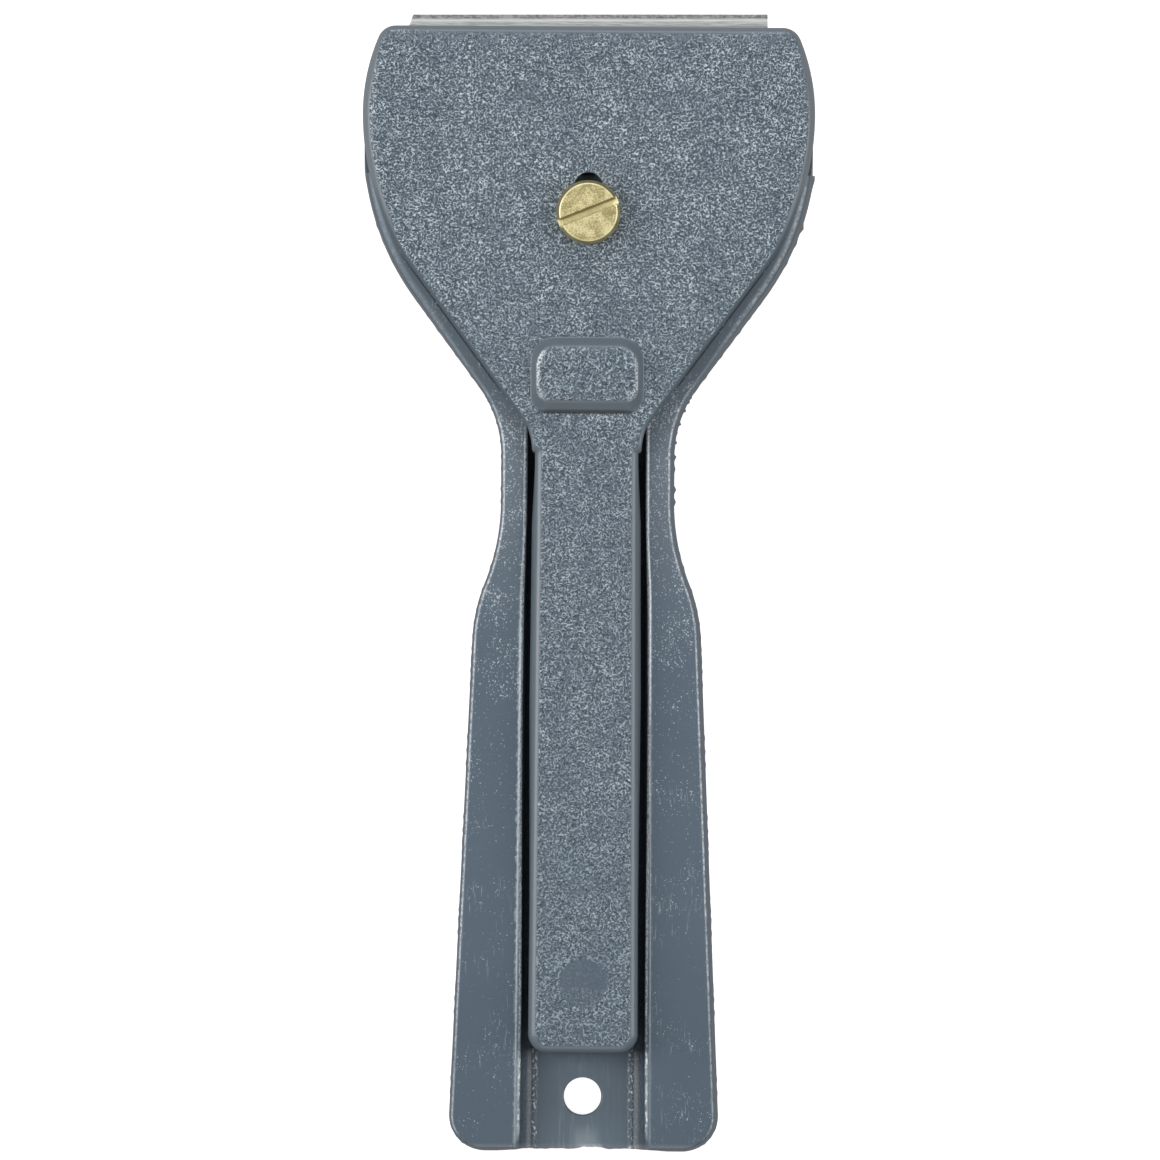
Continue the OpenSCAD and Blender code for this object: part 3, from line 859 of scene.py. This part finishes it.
back = blade_low[1] - edge_y
depths = np.array([0, -honed_depth, -ground_depth, back, back, -ground_depth, -honed_depth])
heights = np.array([0.5, 0.75, 1, 1, 0, 0, 0.25]) * blade_t + platform_z
x = np.concatenate([blade_low[0] + np.linspace(0, clip_run, 5), np.linspace(-15, blade_high[0], 15)])
clip = -clip_len * np.clip(1 - (x - blade_low[0]) / clip_run, 0, 1)
strip = points(x[:, None], edge_y + np.minimum(depths, clip[:, None]), heights)
centre = np.array([0, pin_y])
strip[..., :2] = (strip[..., :2] - centre) @ turning(blade_turn) + centre + blade_shift
blade = solid("blade_strip", strip)
pin_hole = [[pin_hole_r, platform_z - beyond], [pin_hole_r, platform_z + beyond]]
for side in (-1, 1):
    pin_place = np.array([side * pin_span / 2, 0]) @ turning(blade_turn) + centre + blade_shift
    carve(blade, turned("pin_hole", pin_hole, pin_place, steps=48))
soften(blade, angle=4)

# %% [markdown]
# ## Finishes as sums
#
# A finish is a web of shader nodes, and most of its nodes only add and multiply. Written as Python sums
# they stay readable. A Wire stands for one output socket, and each operator on it adds a Math node. A Finish
# holds one material, and its node method makes every other kind of node.

# %% Wires
class Wire:
    """One output socket of a finish. Sums of wires and numbers add Math nodes to the same finish."""

    def __init__(self, finish, socket):
        self.finish = finish
        self.socket = socket

    def __add__(self, other):
        return self.finish.maths("ADD", self, other)

    def __radd__(self, other):
        return self.finish.maths("ADD", other, self)

    def __sub__(self, other):
        return self.finish.maths("SUBTRACT", self, other)

    def __rsub__(self, other):
        return self.finish.maths("SUBTRACT", other, self)

    def __mul__(self, other):
        return self.finish.maths("MULTIPLY", self, other)

    def __rmul__(self, other):
        return self.finish.maths("MULTIPLY", other, self)

    def __pow__(self, other):
        return self.finish.maths("POWER", self, other)

    def __abs__(self):
        return self.finish.maths("ABSOLUTE", self)


def colour(red, green, blue):
    """An opaque colour from its three linear parts."""
    return (red, green, blue, 1.0)


# %% Finishes
class Finish:
    """A material whose shader's sockets take numbers or wires."""

    def __init__(self, name, **constants):
        self.material = bpy.data.materials.new(name)
        self.material.use_nodes = True
        self.tree = self.material.node_tree
        self.shader = self.tree.nodes["Principled BSDF"]
        self.feed(**constants)
        coordinates = self.node("TexCoord", out="Object")
        self.place = self.node("VectorMath", {"operation": "SCALE"}, {0: coordinates, "Scale": 1 / MM})
        self.x, self.y, self.z = self.parts(self.place)

    def node(self, kind, settings=None, sockets=None, out=0):
        """Adds a node, sets its settings and then its sockets, and returns one of its outputs."""
        made = self.tree.nodes.new("ShaderNode" + kind)
        for name, value in (settings or {}).items():
            setattr(made, name, value)
        for key, value in (sockets or {}).items():
            self.join(value, made.inputs[key])
        return Wire(self, made.outputs[out])

    def join(self, value, socket):
        """Links a wire to a socket, or sets the socket to a number or colour."""
        if isinstance(value, Wire):
            self.tree.links.new(value.socket, socket)
        else:
            socket.default_value = value

    def feed(self, **sockets):
        """Joins values to the shader's sockets: base_color stands for Base Color, and so on."""
        for name, value in sockets.items():
            title = name.replace("_", " ").title().replace("Ior", "IOR")
            self.join(value, self.shader.inputs[title])

    def maths(self, operation, *values):
        """One Math node."""
        return self.node("Math", {"operation": operation}, dict(enumerate(values)))

    def clamp(self, value):
        """The value, held between 0 and 1."""
        return self.node("Clamp", sockets={0: value})

    def parts(self, vector):
        """The three parts of a vector."""
        split = self.node("SeparateXYZ", sockets={0: vector})
        return [Wire(self, socket) for socket in split.socket.node.outputs]

    def facing_up(self):
        """How far the surface faces up, 1 on a level top."""
        return self.parts(self.node("NewGeometry", out="Normal"))[2]

    def step(self, value, low, high):
        """0 below low and 1 above high, with a smooth climb between them."""
        sockets = {"Value": value, "From Min": low, "From Max": high}
        return self.node("MapRange", {"interpolation_type": "SMOOTHSTEP"}, sockets)

    def below(self, value, low, high):
        """1 below low and 0 above high, with a smooth fall between them."""
        return 1 - self.step(value, low, high)

    def near(self, value, close, far):
        """1 where the value is closer to 0 than close, and 0 where it is further from 0 than far."""
        return self.below(abs(value), close, far)

    def blend(self, share, first, second):
        """The first colour where share is 0, and the second where it is 1."""
        return self.node("Mix", {"data_type": "RGBA"}, {0: share, 6: first, 7: second}, out=2)

    def painted(self, base, *coats):
        """The base colour under coats of (share, red, green, blue), each laid over the ones before it."""
        for share, *paint in coats:
            base = self.blend(share, base, colour(*paint))
        return base

    def stretched(self, x, y, z):
        """The place on the piece in millimetres, with each axis multiplied by a number."""
        return self.node("VectorMath", {"operation": "MULTIPLY"}, {0: self.place, 1: (x, y, z)})

    def moved(self, x, y, z):
        """The place on the piece, moved by some millimetres, where a second noise is unlike the first."""
        return self.node("VectorMath", {"operation": "ADD"}, {0: self.place, 1: (x, y, z)})

    def noise(self, scale, detail=2.0, roughness=0.5, place=None):
        """Cloudy noise around a half, with about scale waves a millimetre."""
        sockets = {"Vector": place or self.place, "Scale": scale, "Detail": detail, "Roughness": roughness}
        return self.node("TexNoise", sockets=sockets)

    def bump(self, height):
        """A normal bent by a height in millimetres."""
        return self.node("Bump", sockets={"Strength": 1.0, "Distance": MM, "Height": height})


# %% [markdown]
# A finished piece stands for one node of the frame and hides it, and rides on the body that moves that node.
# One function says all of that.

# %% Dressing a piece
def dress(piece, body, node, material):
    """Puts a material on a piece that stands for a node of the frame and moves with one of its bodies."""
    piece.data.materials.clear()
    piece.data.materials.append(material)
    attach(piece, body)
    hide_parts(node)
    print(f"{piece.name}: {material.name}, {len(material.node_tree.nodes)} nodes")


# %% [markdown]
# ## The guard's grain
#
# The guard's mould was spark-eroded, so its flat tops are covered in tiny pits with shiny flanks, while the
# rounded edges, which were polished, stay smooth. The pits are far too many to model. Contour lines of a
# cloudy noise, broken up by a second noise, are painted instead: pale strokes are painted glints of the
# flanks, and dark pits are painted shade. A finer noise bends the normal. The grain fades out where the
# surface turns away from level. It is coarser at the tongue's end, and weak near the front edge and on the
# round mark that a pin of the mould left. The thumb pad's top edges carry a painted highlight, a painted
# shadow lies in the crease behind the pad, the plain top near the front edge is painted lighter, and off the
# level the colour is painted lighter, as painted light, most of all on the rounded sides and front, and
# darker, as painted shade, on the fan's slopes.

# %% Painted glints and shade of the grain
def grain_glint_and_shade(finish, amount):
    """The fine noise of an eroded grain, its painted glint and its painted shade.

    Pale strokes of painted glint and dark pits of painted shade lie where a cloudy noise is close to one
    value, so along its contour lines, and where a second noise is high or low.
    """
    y, step, below, near, noise = finish.y, finish.step, finish.below, finish.near, finish.noise
    cloud = noise(2.6, detail=0.0)
    cloud = cloud + below(y, -46.0, -38.0) * (noise(2.1, detail=0.0) - cloud)
    fine = noise(4.4, detail=1.0)
    other = noise(4.0, detail=1.0, place=finish.moved(30.0, 10.0, 0.0))
    glint_strokes = near(cloud - 0.5, 0.02, 0.1) * step(other, 0.4, 0.56)
    shaded_pits = near(cloud - 0.6, 0.02, 0.12) * below(other, 0.46, 0.62)
    glint = (0.4 * glint_strokes + 0.22 * step(fine, 0.5, 0.75)) * amount
    shade = (shaded_pits + 0.6 * below(fine, 0.3, 0.5)) * amount
    return fine, glint, shade


# %% The guard's plastic
mark_y = -45.0
crease_y = pad_y - pad_half[1]


def grained_plastic():
    """Blue-grey plastic with an eroded grain on its level faces and a painted shadow behind the thumb pad.
    """
    finish = Finish("guard_grain", specular_ior_level=0.5)
    x, y, z, up = finish.x, finish.y, finish.z, finish.facing_up()
    step, below, near, noise = finish.step, finish.below, finish.near, finish.noise
    near_pad = near(x, 6.0, 6.4) * near(y - pad_y, 3.4, 3.8) * step(z, guard_top + 0.8, guard_top + 1.0)
    sides = step(abs(x), 17.0, 20.0) * step(y, 42.0, 46.0)
    level = step(up + 0.1 * near_pad + 0.13 * sides, 0.96, 0.998)
    head = step(y, 26.0, 36.0)
    low = below(y, -34.0, -20.0)
    right = step(x, -1.0, 1.0)
    ahead = step(y, pad_y - 1.5, pad_y + 1.5)
    # A painted highlight along the thumb pad's rounded top edges, with its own strength on each side and at
    # the front.
    strip = near_pad * step(up, 0.74, 0.84) * below(up, 0.96, 0.99) * step(abs(x), 4.2, 5.2)
    strip = strip * (0.35 + 0.45 * ahead + right * (0.15 - 0.7 * ahead))
    mark = below((x ** 2 + (y - mark_y) ** 2) ** 0.5, 2.6, 2.8)
    mark = mark * (0.6 + 0.25 * step(y, mark_y - 1.5, mark_y))
    drift = noise(0.25, detail=2.0)
    hue = noise(0.7, detail=1.0)
    front = step(y + 3.0 * (hue - 0.5), guard_front - 2.6, guard_front - 1.2)
    amount = level * (1 - mark) * (0.3 + 1.4 * drift) * (1 + 0.3 * head - 0.2 * low) * (1 - 0.5 * front)
    # The grain's glint and shade are a painted highlight and painted shade in the colour.
    fine, glint, shade = grain_glint_and_shade(finish, amount)
    # A painted shadow in the crease at the foot of the thumb pad's rear slope.
    crease_shadow = near(y - crease_y, 0.08, 0.34) * near(x, 4.2, 6.2)
    slopes = step(y, 16.0, 20.0) * below(y, 38.0, 44.0) * step(abs(x), 6.3, 6.5)
    rounded = finish.maths("MAXIMUM", sides, step(y, guard_front - 1.2, guard_front - 0.6))
    plain = finish.painted(
        colour(0.066, 0.1, 0.128),
        (hue, 0.079, 0.101, 0.136),
        (0.14 * (1 - head), 0.13, 0.155, 0.18),
        (0.16 * head, 0.04, 0.055, 0.075),
        # Near the front edge the plain top is painted lighter, as painted light.
        (0.8 * front, 0.108, 0.138, 0.172),
    )
    # Off the level the colour is painted lighter than the plain top, as painted light, most of all on the
    # rounded sides and front edge; on the fan's slopes it is painted darker, as painted shade.
    edge = finish.painted(
        colour(0.102, 0.13, 0.154),
        (slopes, 0.072, 0.098, 0.12),
        (rounded * below(up, 0.5, 0.9), 0.165, 0.188, 0.205),
    )
    tone = finish.painted(
        finish.blend(level, edge, plain),
        (0.95 * crease_shadow, 0.01, 0.015, 0.018),
        (shade, 0.032, 0.048, 0.062),
        (strip * step(fine, 0.35, 0.6), 0.75, 0.8, 0.82),
        (glint * (1 - crease_shadow), 0.65, 0.76, 0.83),
    )
    finish.feed(
        base_color=tone,
        roughness=0.34 - (0.06 - 0.08 * drift) * level,
        normal=finish.bump(0.1 * fine * amount + 0.05 * noise(0.12, detail=1.0)),
    )
    return finish.material


dress(guard, "guard_body", "guard", grained_plastic())

# %% [markdown]
# ## The handle's satin plastic
#
# The handle came from a smoother mould, so its faces are satin, with specks of dust and fine scratches. Its
# outer edges and the channel's lips carry painted highlights, a painted contact shadow lies beside the
# guard, a rough line of painted glints runs along the foot of the channel's walls, and the floor is streaked
# lengthwise and hazy at the tail. The steep sides are painted darker on the grip and lighter on the head,
# the foot of the channel's walls and the rails towards the tail are painted in shade, and the tail's end is
# painted lighter, as painted light. The bands are found by their distance from the channel's wall, which is
# a sum of the place across and along.

# %% Dust, scratches and a painted contact shadow
def dust_scratches_and_shadow(finish, top, neck, ragged):
    """Specks of dust, fine scratches and a painted contact shadow beside the guard's slopes.

    Dust lies where a fine noise is high, and scratches where a noise drawn out along Y is, both in drifts.
    """
    x, y = finish.x, finish.y
    step, below, near, noise = finish.step, finish.below, finish.near, finish.noise
    where = noise(0.16, detail=2.0)
    scratch = noise(1.0, detail=2.0, place=finish.stretched(6.0, 0.5, 1.0))
    scratch = step(scratch, 0.62, 0.72) * step(where, 0.45, 0.6) * top
    clean = 0.1 * step(y, 19.0, 25.0) + 0.055 * below(y, -34.0, -22.0)
    dust = noise(5.2, detail=1.0) + 0.08 * neck - clean + 0.07 * step(where, 0.48, 0.6)
    dust = step(dust, 0.69, 0.77) * top
    # A painted contact shadow on the handle's top along the guard's straight slopes.
    contact_shadow = np.cos(slope) * (abs(x) - root_half) - np.sin(slope) * (y - root_y)
    contact_shadow = near(contact_shadow - 0.06 - 0.1 * (ragged - 0.5), 0.04, 0.18) * top
    contact_shadow = contact_shadow * step(y, 20.5, 23.0) * below(y, 34.0, 38.0)
    return dust, scratch, contact_shadow


# %% The handle's plastic
def satin_plastic():
    """Blue-grey satin plastic, streaked along the channel floor and rough at the channel's edges."""
    finish = Finish("handle_satin", specular_ior_level=0.5)
    x, y, z, up = finish.x, finish.y, finish.z, finish.facing_up()
    step, below, near, noise = finish.step, finish.below, finish.near, finish.noise
    spread = (tongue_half_tail - tongue_half_root) / (step_y - guard_tail)
    from_wall = abs(x) - (tongue_half_root + tongue_gap + spread * step_y - spread * y)
    top = step(z, handle_top - 0.6, handle_top - 0.2)
    inside = step(z, 0.9, 1.3) * (1 - top)
    floor = below(z, floor_z + 0.1, floor_z + 0.4) * below(from_wall, -1.8, -1.5) * inside
    side = below(up, 0.02, 0.3)
    right = step(x, -1.0, 1.0)
    neck = step(y, -12.0, 14.0) * top
    narrow = step(y, -2.0, 6.0)
    low = below(y, -54.0, -36.0)
    tail = below(y, tail_y + 0.5, tail_y + 1.0)
    ragged = noise(1.6, detail=3.0)
    grain = noise(4.2, detail=2.0, place=finish.stretched(1.0, 0.7, 1.0))
    broken = step(grain, 0.4, 0.62)
    soft = noise(0.1, detail=2.0)
    # A rough band on the channel's lips, mostly on the left, painted pale as a highlight.
    lip_band_highlight = near(from_wall - 0.3 - 0.8 * (ragged - 0.5), 0.15, 0.42) * top
    lip_band_highlight = lip_band_highlight * (1 - 0.75 * right) * below(y, -6.0, 1.0) * (1 - 0.6 * low)
    bead = near(from_wall - 0.3 + 0.27 * narrow, 0.03, 0.22) * top * below(y, 15.0, 19.0)
    foot = step(from_wall, -2.2, -1.8) * below(from_wall, -0.1, 0.15) * inside
    rim = near(from_wall + 1.75 + 0.5 * (ragged - 0.5), 0.1, 0.4) * inside
    # Painted glints along the lip band, the floor's edge and the foot of the walls, with bumps under them.
    sparkle = finish.clamp(0.4 * lip_band_highlight + 0.9 * rim + 0.12 * foot)
    calm = step(y, 16.0, 24.0) * (0.8 - 0.35 * right * step(y, 26.0, 32.0))
    # Painted highlights on the rounded outer edges and on the channel's lips, broken up by noise.
    edge_highlight = step(up, 0.45, 0.65) * below(up, 0.88, 0.97) * top * step(y, tail_y + 1.0, tail_y + 2.5)
    edge_highlight = edge_highlight * (0.15 + 0.55 * broken + 0.5 * step(ragged, 0.4, 0.62)) * (1 - calm) * (1 - 0.45 * low)
    lip_highlight = step(up, 0.15, 0.4) * below(up, 0.96, 0.999) * top * near(from_wall - 0.1, 0.6, 0.9)
    lip_highlight = lip_highlight * step(y, tail_y + 1.5, tail_y + 4.0) * (0.3 + 0.8 * broken) * (1 - 0.7 * narrow)
    lip_highlight = lip_highlight * (1 - low * (0.85 - 0.5 * step(ragged, 0.45, 0.6)))
    # A painted glint along the bead on the right lip.
    lip_glint = near(y + 5.0, 5.0, 12.0) + 0.9 * step(y, 0.0, 6.0)
    lip_glint = bead * right * lip_glint * (0.6 + 0.4 * broken)
    streaks = noise(1.0, detail=4.0, roughness=0.65, place=finish.stretched(3.0, 0.18, 1.0))
    streaks = step(streaks, 0.52, 0.75) * floor * (1 - 0.7 * step(abs(x), 2.0, 4.5))
    gate = near(x - gate_x, 1.0, 1.6) * tail
    haze = near(x - 0.4, 0.6, 2.0) * below(y, tail_y + 1.0, tail_y + 3.6) * floor
    dust, scratch, contact_shadow = dust_scratches_and_shadow(finish, top, neck, ragged)
    # Pale marks: real dust, scratches, streaks and the gate's scar, with painted glints and painted
    # highlights.
    pale = (0.52 * dust + 0.6 * sparkle * step(grain, 0.54, 0.66) + 0.6 * edge_highlight + lip_highlight
            + 0.1 * streaks + 0.15 * scratch + 0.4 * gate * ragged)
    tone = finish.painted(
        colour(0.075, 0.105, 0.138),
        (soft, 0.09, 0.124, 0.16),
        (0.25 * neck, 0.25, 0.29, 0.32),
        # Steep sides are painted darker in places, as painted shade, and on the head lighter, as painted
        # light.
        (0.3 * side * (1 - inside), 0.054, 0.062, 0.07),
        (0.7 * side * step(y, 22.0, 30.0), 0.15, 0.165, 0.175),
        # Painted shade at the foot of the channel's walls.
        (0.75 * foot, 0.034, 0.05, 0.066),
        # Painted shade: the rails' tops darker towards the tail.
        (0.35 * top * low, 0.05, 0.075, 0.095),
        (0.8 * contact_shadow, 0.012, 0.016, 0.02),
        (0.5 * lip_band_highlight, 0.42, 0.5, 0.54),
        (0.4 * floor, 0.15, 0.195, 0.23),
        # Painted light: the tail's end lighter.
        (0.5 * tail, 0.19, 0.2, 0.21),
        (0.3 * haze, 0.4, 0.44, 0.47),
        (finish.clamp(pale), 0.72, 0.77, 0.8),
        (lip_glint, 0.88, 0.96, 1.0),
    )
    height = grain * (0.1 * sparkle + 0.05 * (edge_highlight + lip_highlight)) + 0.08 * bead + 0.01 * streaks + 0.08 * soft
    finish.feed(
        base_color=tone,
        roughness=0.34 + 0.1 * ragged - 0.12 * bead,
        normal=finish.bump(height),
    )
    return finish.material


dress(handle, "handle_body", "handle", satin_plastic())

# %% [markdown]
# ## Brass and steel
#
# The screw was turned on a lathe, so fine rings run round its axis, and its brass has dulled unevenly. The
# saw left a burr at the ends of the driver's slot. On the head the rim carries a painted highlight, the burr
# painted glints and the slot painted light, while the slot's far wall and the head's side are painted in
# shade. The nut shares the metal. The blade is rolled strip, so its marks run along it, and the fine honed
# facet at the very front is darker and mottled.

# %% Brass
def turned_brass(name):
    """Dulled brass with turning rings round the axis, a burr, and painted light and shade on rim, slot and
    side.
    """
    finish = Finish(name, metallic=1.0)
    x, y, z = finish.x, finish.y, finish.z
    step, below, near = finish.step, finish.below, finish.near
    ahead = y - screw_y
    radius = (x ** 2 + ahead ** 2) ** 0.5
    rings = finish.node("TexNoise", {"noise_dimensions": "1D"}, {"W": radius, "Scale": 9.0, "Detail": 2.0})
    mottle = finish.noise(0.7, detail=2.0)
    stipple = finish.noise(5.5, detail=2.0)
    bright = step(0.5 * stipple + 0.5 * mottle, 0.38, 0.62)
    beside_slot = np.cos(tilt) * ahead - np.sin(tilt) * x
    sunk = below(z, head_top - 0.3, head_top - 0.05) * step(z, head_bottom, head_bottom + 0.5)
    # Painted shade on the slot's far wall.
    shaded_wall = sunk * step(beside_slot, 0.1, 0.4) * below(radius, face_r, head_r)
    slot = sunk * near(beside_slot, 0.5, 0.56)
    burr = near(beside_slot + 0.1, 0.35, 0.6) * step(radius, face_r - 0.25, face_r)
    # Painted shade on the head's rounded side outside the face, and a painted highlight on the rim of the
    # face.
    shaded_flank = step(radius, face_r + 0.03, face_r + 0.12) * (1 - slot)
    rim = near(radius - face_r, 0.06, 0.13) * (1 - sunk)
    # The slot is painted light, and the burr's pale speckles are painted glints.
    pale = 0.6 * rim + 0.8 * burr * step(stipple, 0.38, 0.5) + 0.6 * slot
    tone = finish.painted(
        colour(0.5, 0.42, 0.19),
        (bright, 0.96, 0.87, 0.51),
        (0.6 * shaded_flank, 0.44, 0.36, 0.16),
        (finish.clamp(pale), 1.0, 0.94, 0.6),
        (0.85 * shaded_wall, 0.3, 0.24, 0.08),
    )
    finish.feed(
        base_color=tone,
        roughness=0.44 + 0.1 * mottle,
        normal=finish.bump(0.005 * rings + (0.015 + 0.06 * burr + 0.03 * slot) * stipple),
    )
    return finish.material


dress(screw, "screw_body", "clamp_screw", turned_brass("screw_brass_finish"))
dress(nut, "handle_body", "clamp_nut", turned_brass("nut_brass_finish"))


# %% Steel
def ground_steel():
    """Rolled steel with a ground bevel and a honed facet, told apart by the distance behind the edge."""
    finish = Finish("blade_ground_steel", metallic=1.0)
    behind = edge_y + blade_shift[1] + blade_turn * finish.x - finish.y
    honed = finish.below(behind, 0.42, 0.5)
    ground = finish.below(behind, 1.25, 1.32) * (1 - honed)
    gleam = finish.near(behind - 0.68, 0.06, 0.16)
    mottle = finish.noise(1.0, detail=3.0, place=finish.stretched(2.6, 3.4, 1.0))
    rolled = finish.noise(1.0, detail=3.0, place=finish.stretched(0.5, 9.0, 1.0))
    lines = finish.step(rolled, 0.35, 0.65)
    stains = finish.step(0.6 * mottle + 0.4 * rolled, 0.38, 0.62)
    plain = finish.painted(colour(0.55, 0.56, 0.55), (rolled, 0.7, 0.71, 0.7))
    bevel = finish.painted(
        colour(0.54, 0.56, 0.56), (lines, 0.8, 0.82, 0.82), (0.8 * gleam, 0.95, 0.95, 0.95))
    facet = finish.painted(colour(0.22, 0.22, 0.22), (stains, 0.44, 0.44, 0.44))
    finish.feed(
        base_color=finish.blend(honed, finish.blend(ground, plain, bevel), facet),
        roughness=0.4 + 0.12 * mottle,
        normal=finish.bump(0.004 * mottle + 0.004 * rolled),
    )
    return finish.material


dress(blade, "handle_body", "blade", ground_steel())

# %% [markdown]
# ## Stage, light and camera
#
# The photograph is a plain product shot: white paper, large soft lights from both sides with the left one
# stronger, weaker ones from the front and the rear, and nothing bright straight above, so that level plastic
# looks darker than its edges. The camera looks straight down from far away, turned by a third of a degree as
# the scraper lies in the picture. Places of the stage are in metres.

# %% The floor
floor_half = 2.0
floor_drop = 0.01 * MM
floor_points = np.array([[-1, -1, 0], [1, -1, 0], [1, 1, 0], [-1, 1, 0]]) * floor_half - [0, 0, floor_drop]
paper_mesh = bpy.data.meshes.new("paper")
paper_mesh.from_pydata(floor_points.tolist(), [], [[0, 1, 2, 3]])
paper = bpy.data.objects.new("paper", paper_mesh)
bpy.context.collection.objects.link(paper)
white = Finish("white_paper", roughness=0.9, emission_strength=0.85)
white.feed(
    base_color=white.painted(colour(0.5, 0.5, 0.5), (white.noise(0.02), 0.54, 0.54, 0.54)),
    emission_color=colour(1, 1, 1),
)
paper_mesh.materials.append(white.material)
paper.visible_glossy = False
paper.visible_diffuse = False


# %% Lights
def softbox(name, place, width, height, power):
    """A rectangular light at a place in metres that faces the scraper."""
    lamp = bpy.data.lights.new(name, "AREA")
    lamp.shape = "RECTANGLE"
    lamp.size = width
    lamp.size_y = height
    lamp.energy = power
    box = bpy.data.objects.new(name, lamp)
    box.location = place
    box.rotation_euler = (-box.location).to_track_quat("-Z", "Y").to_euler()
    bpy.context.collection.objects.link(box)
    print(f"{name}: {power} W")


softbox("left_softbox", (-0.58, 0.05, 0.42), 0.26, 0.6, 3.6)
softbox("right_softbox", (0.6, 0.0, 0.42), 0.24, 0.6, 2.4)
softbox("front_softbox", (0.0, 0.6, 0.42), 0.6, 0.26, 2.2)
softbox("rear_softbox", (0.0, -0.6, 0.42), 0.6, 0.26, 0.9)
world = bpy.data.worlds.new("studio")
world.use_nodes = True
world.node_tree.nodes["Background"].inputs["Color"].default_value = colour(0.3, 0.3, 0.3)
bpy.context.scene.world = world
bpy.context.scene.view_settings.view_transform = "Standard"

# %% Camera
photo_px = 1160
photo_px_per_mm = 8.885
camera_distance = 3000.0
camera_level = 5.3
sensor = 36.0
origin_px = np.array([585.9, 583.1])
lean = 0.38

middle = (photo_px / 2 - origin_px) / photo_px_per_mm
view = bpy.data.cameras.new("camera")
view.sensor_width = sensor
view.lens = sensor * camera_distance * photo_px_per_mm / photo_px
camera = bpy.data.objects.new("camera", view)
camera.location = (middle[0] * MM, -middle[1] * MM, (camera_distance + camera_level) * MM)
camera.rotation_euler = (0, 0, np.radians(lean))
bpy.context.collection.objects.link(camera)
bpy.context.scene.camera = camera
print(f"camera: {view.lens:.1f} mm lens, {photo_px / photo_px_per_mm:.1f} mm across the picture")
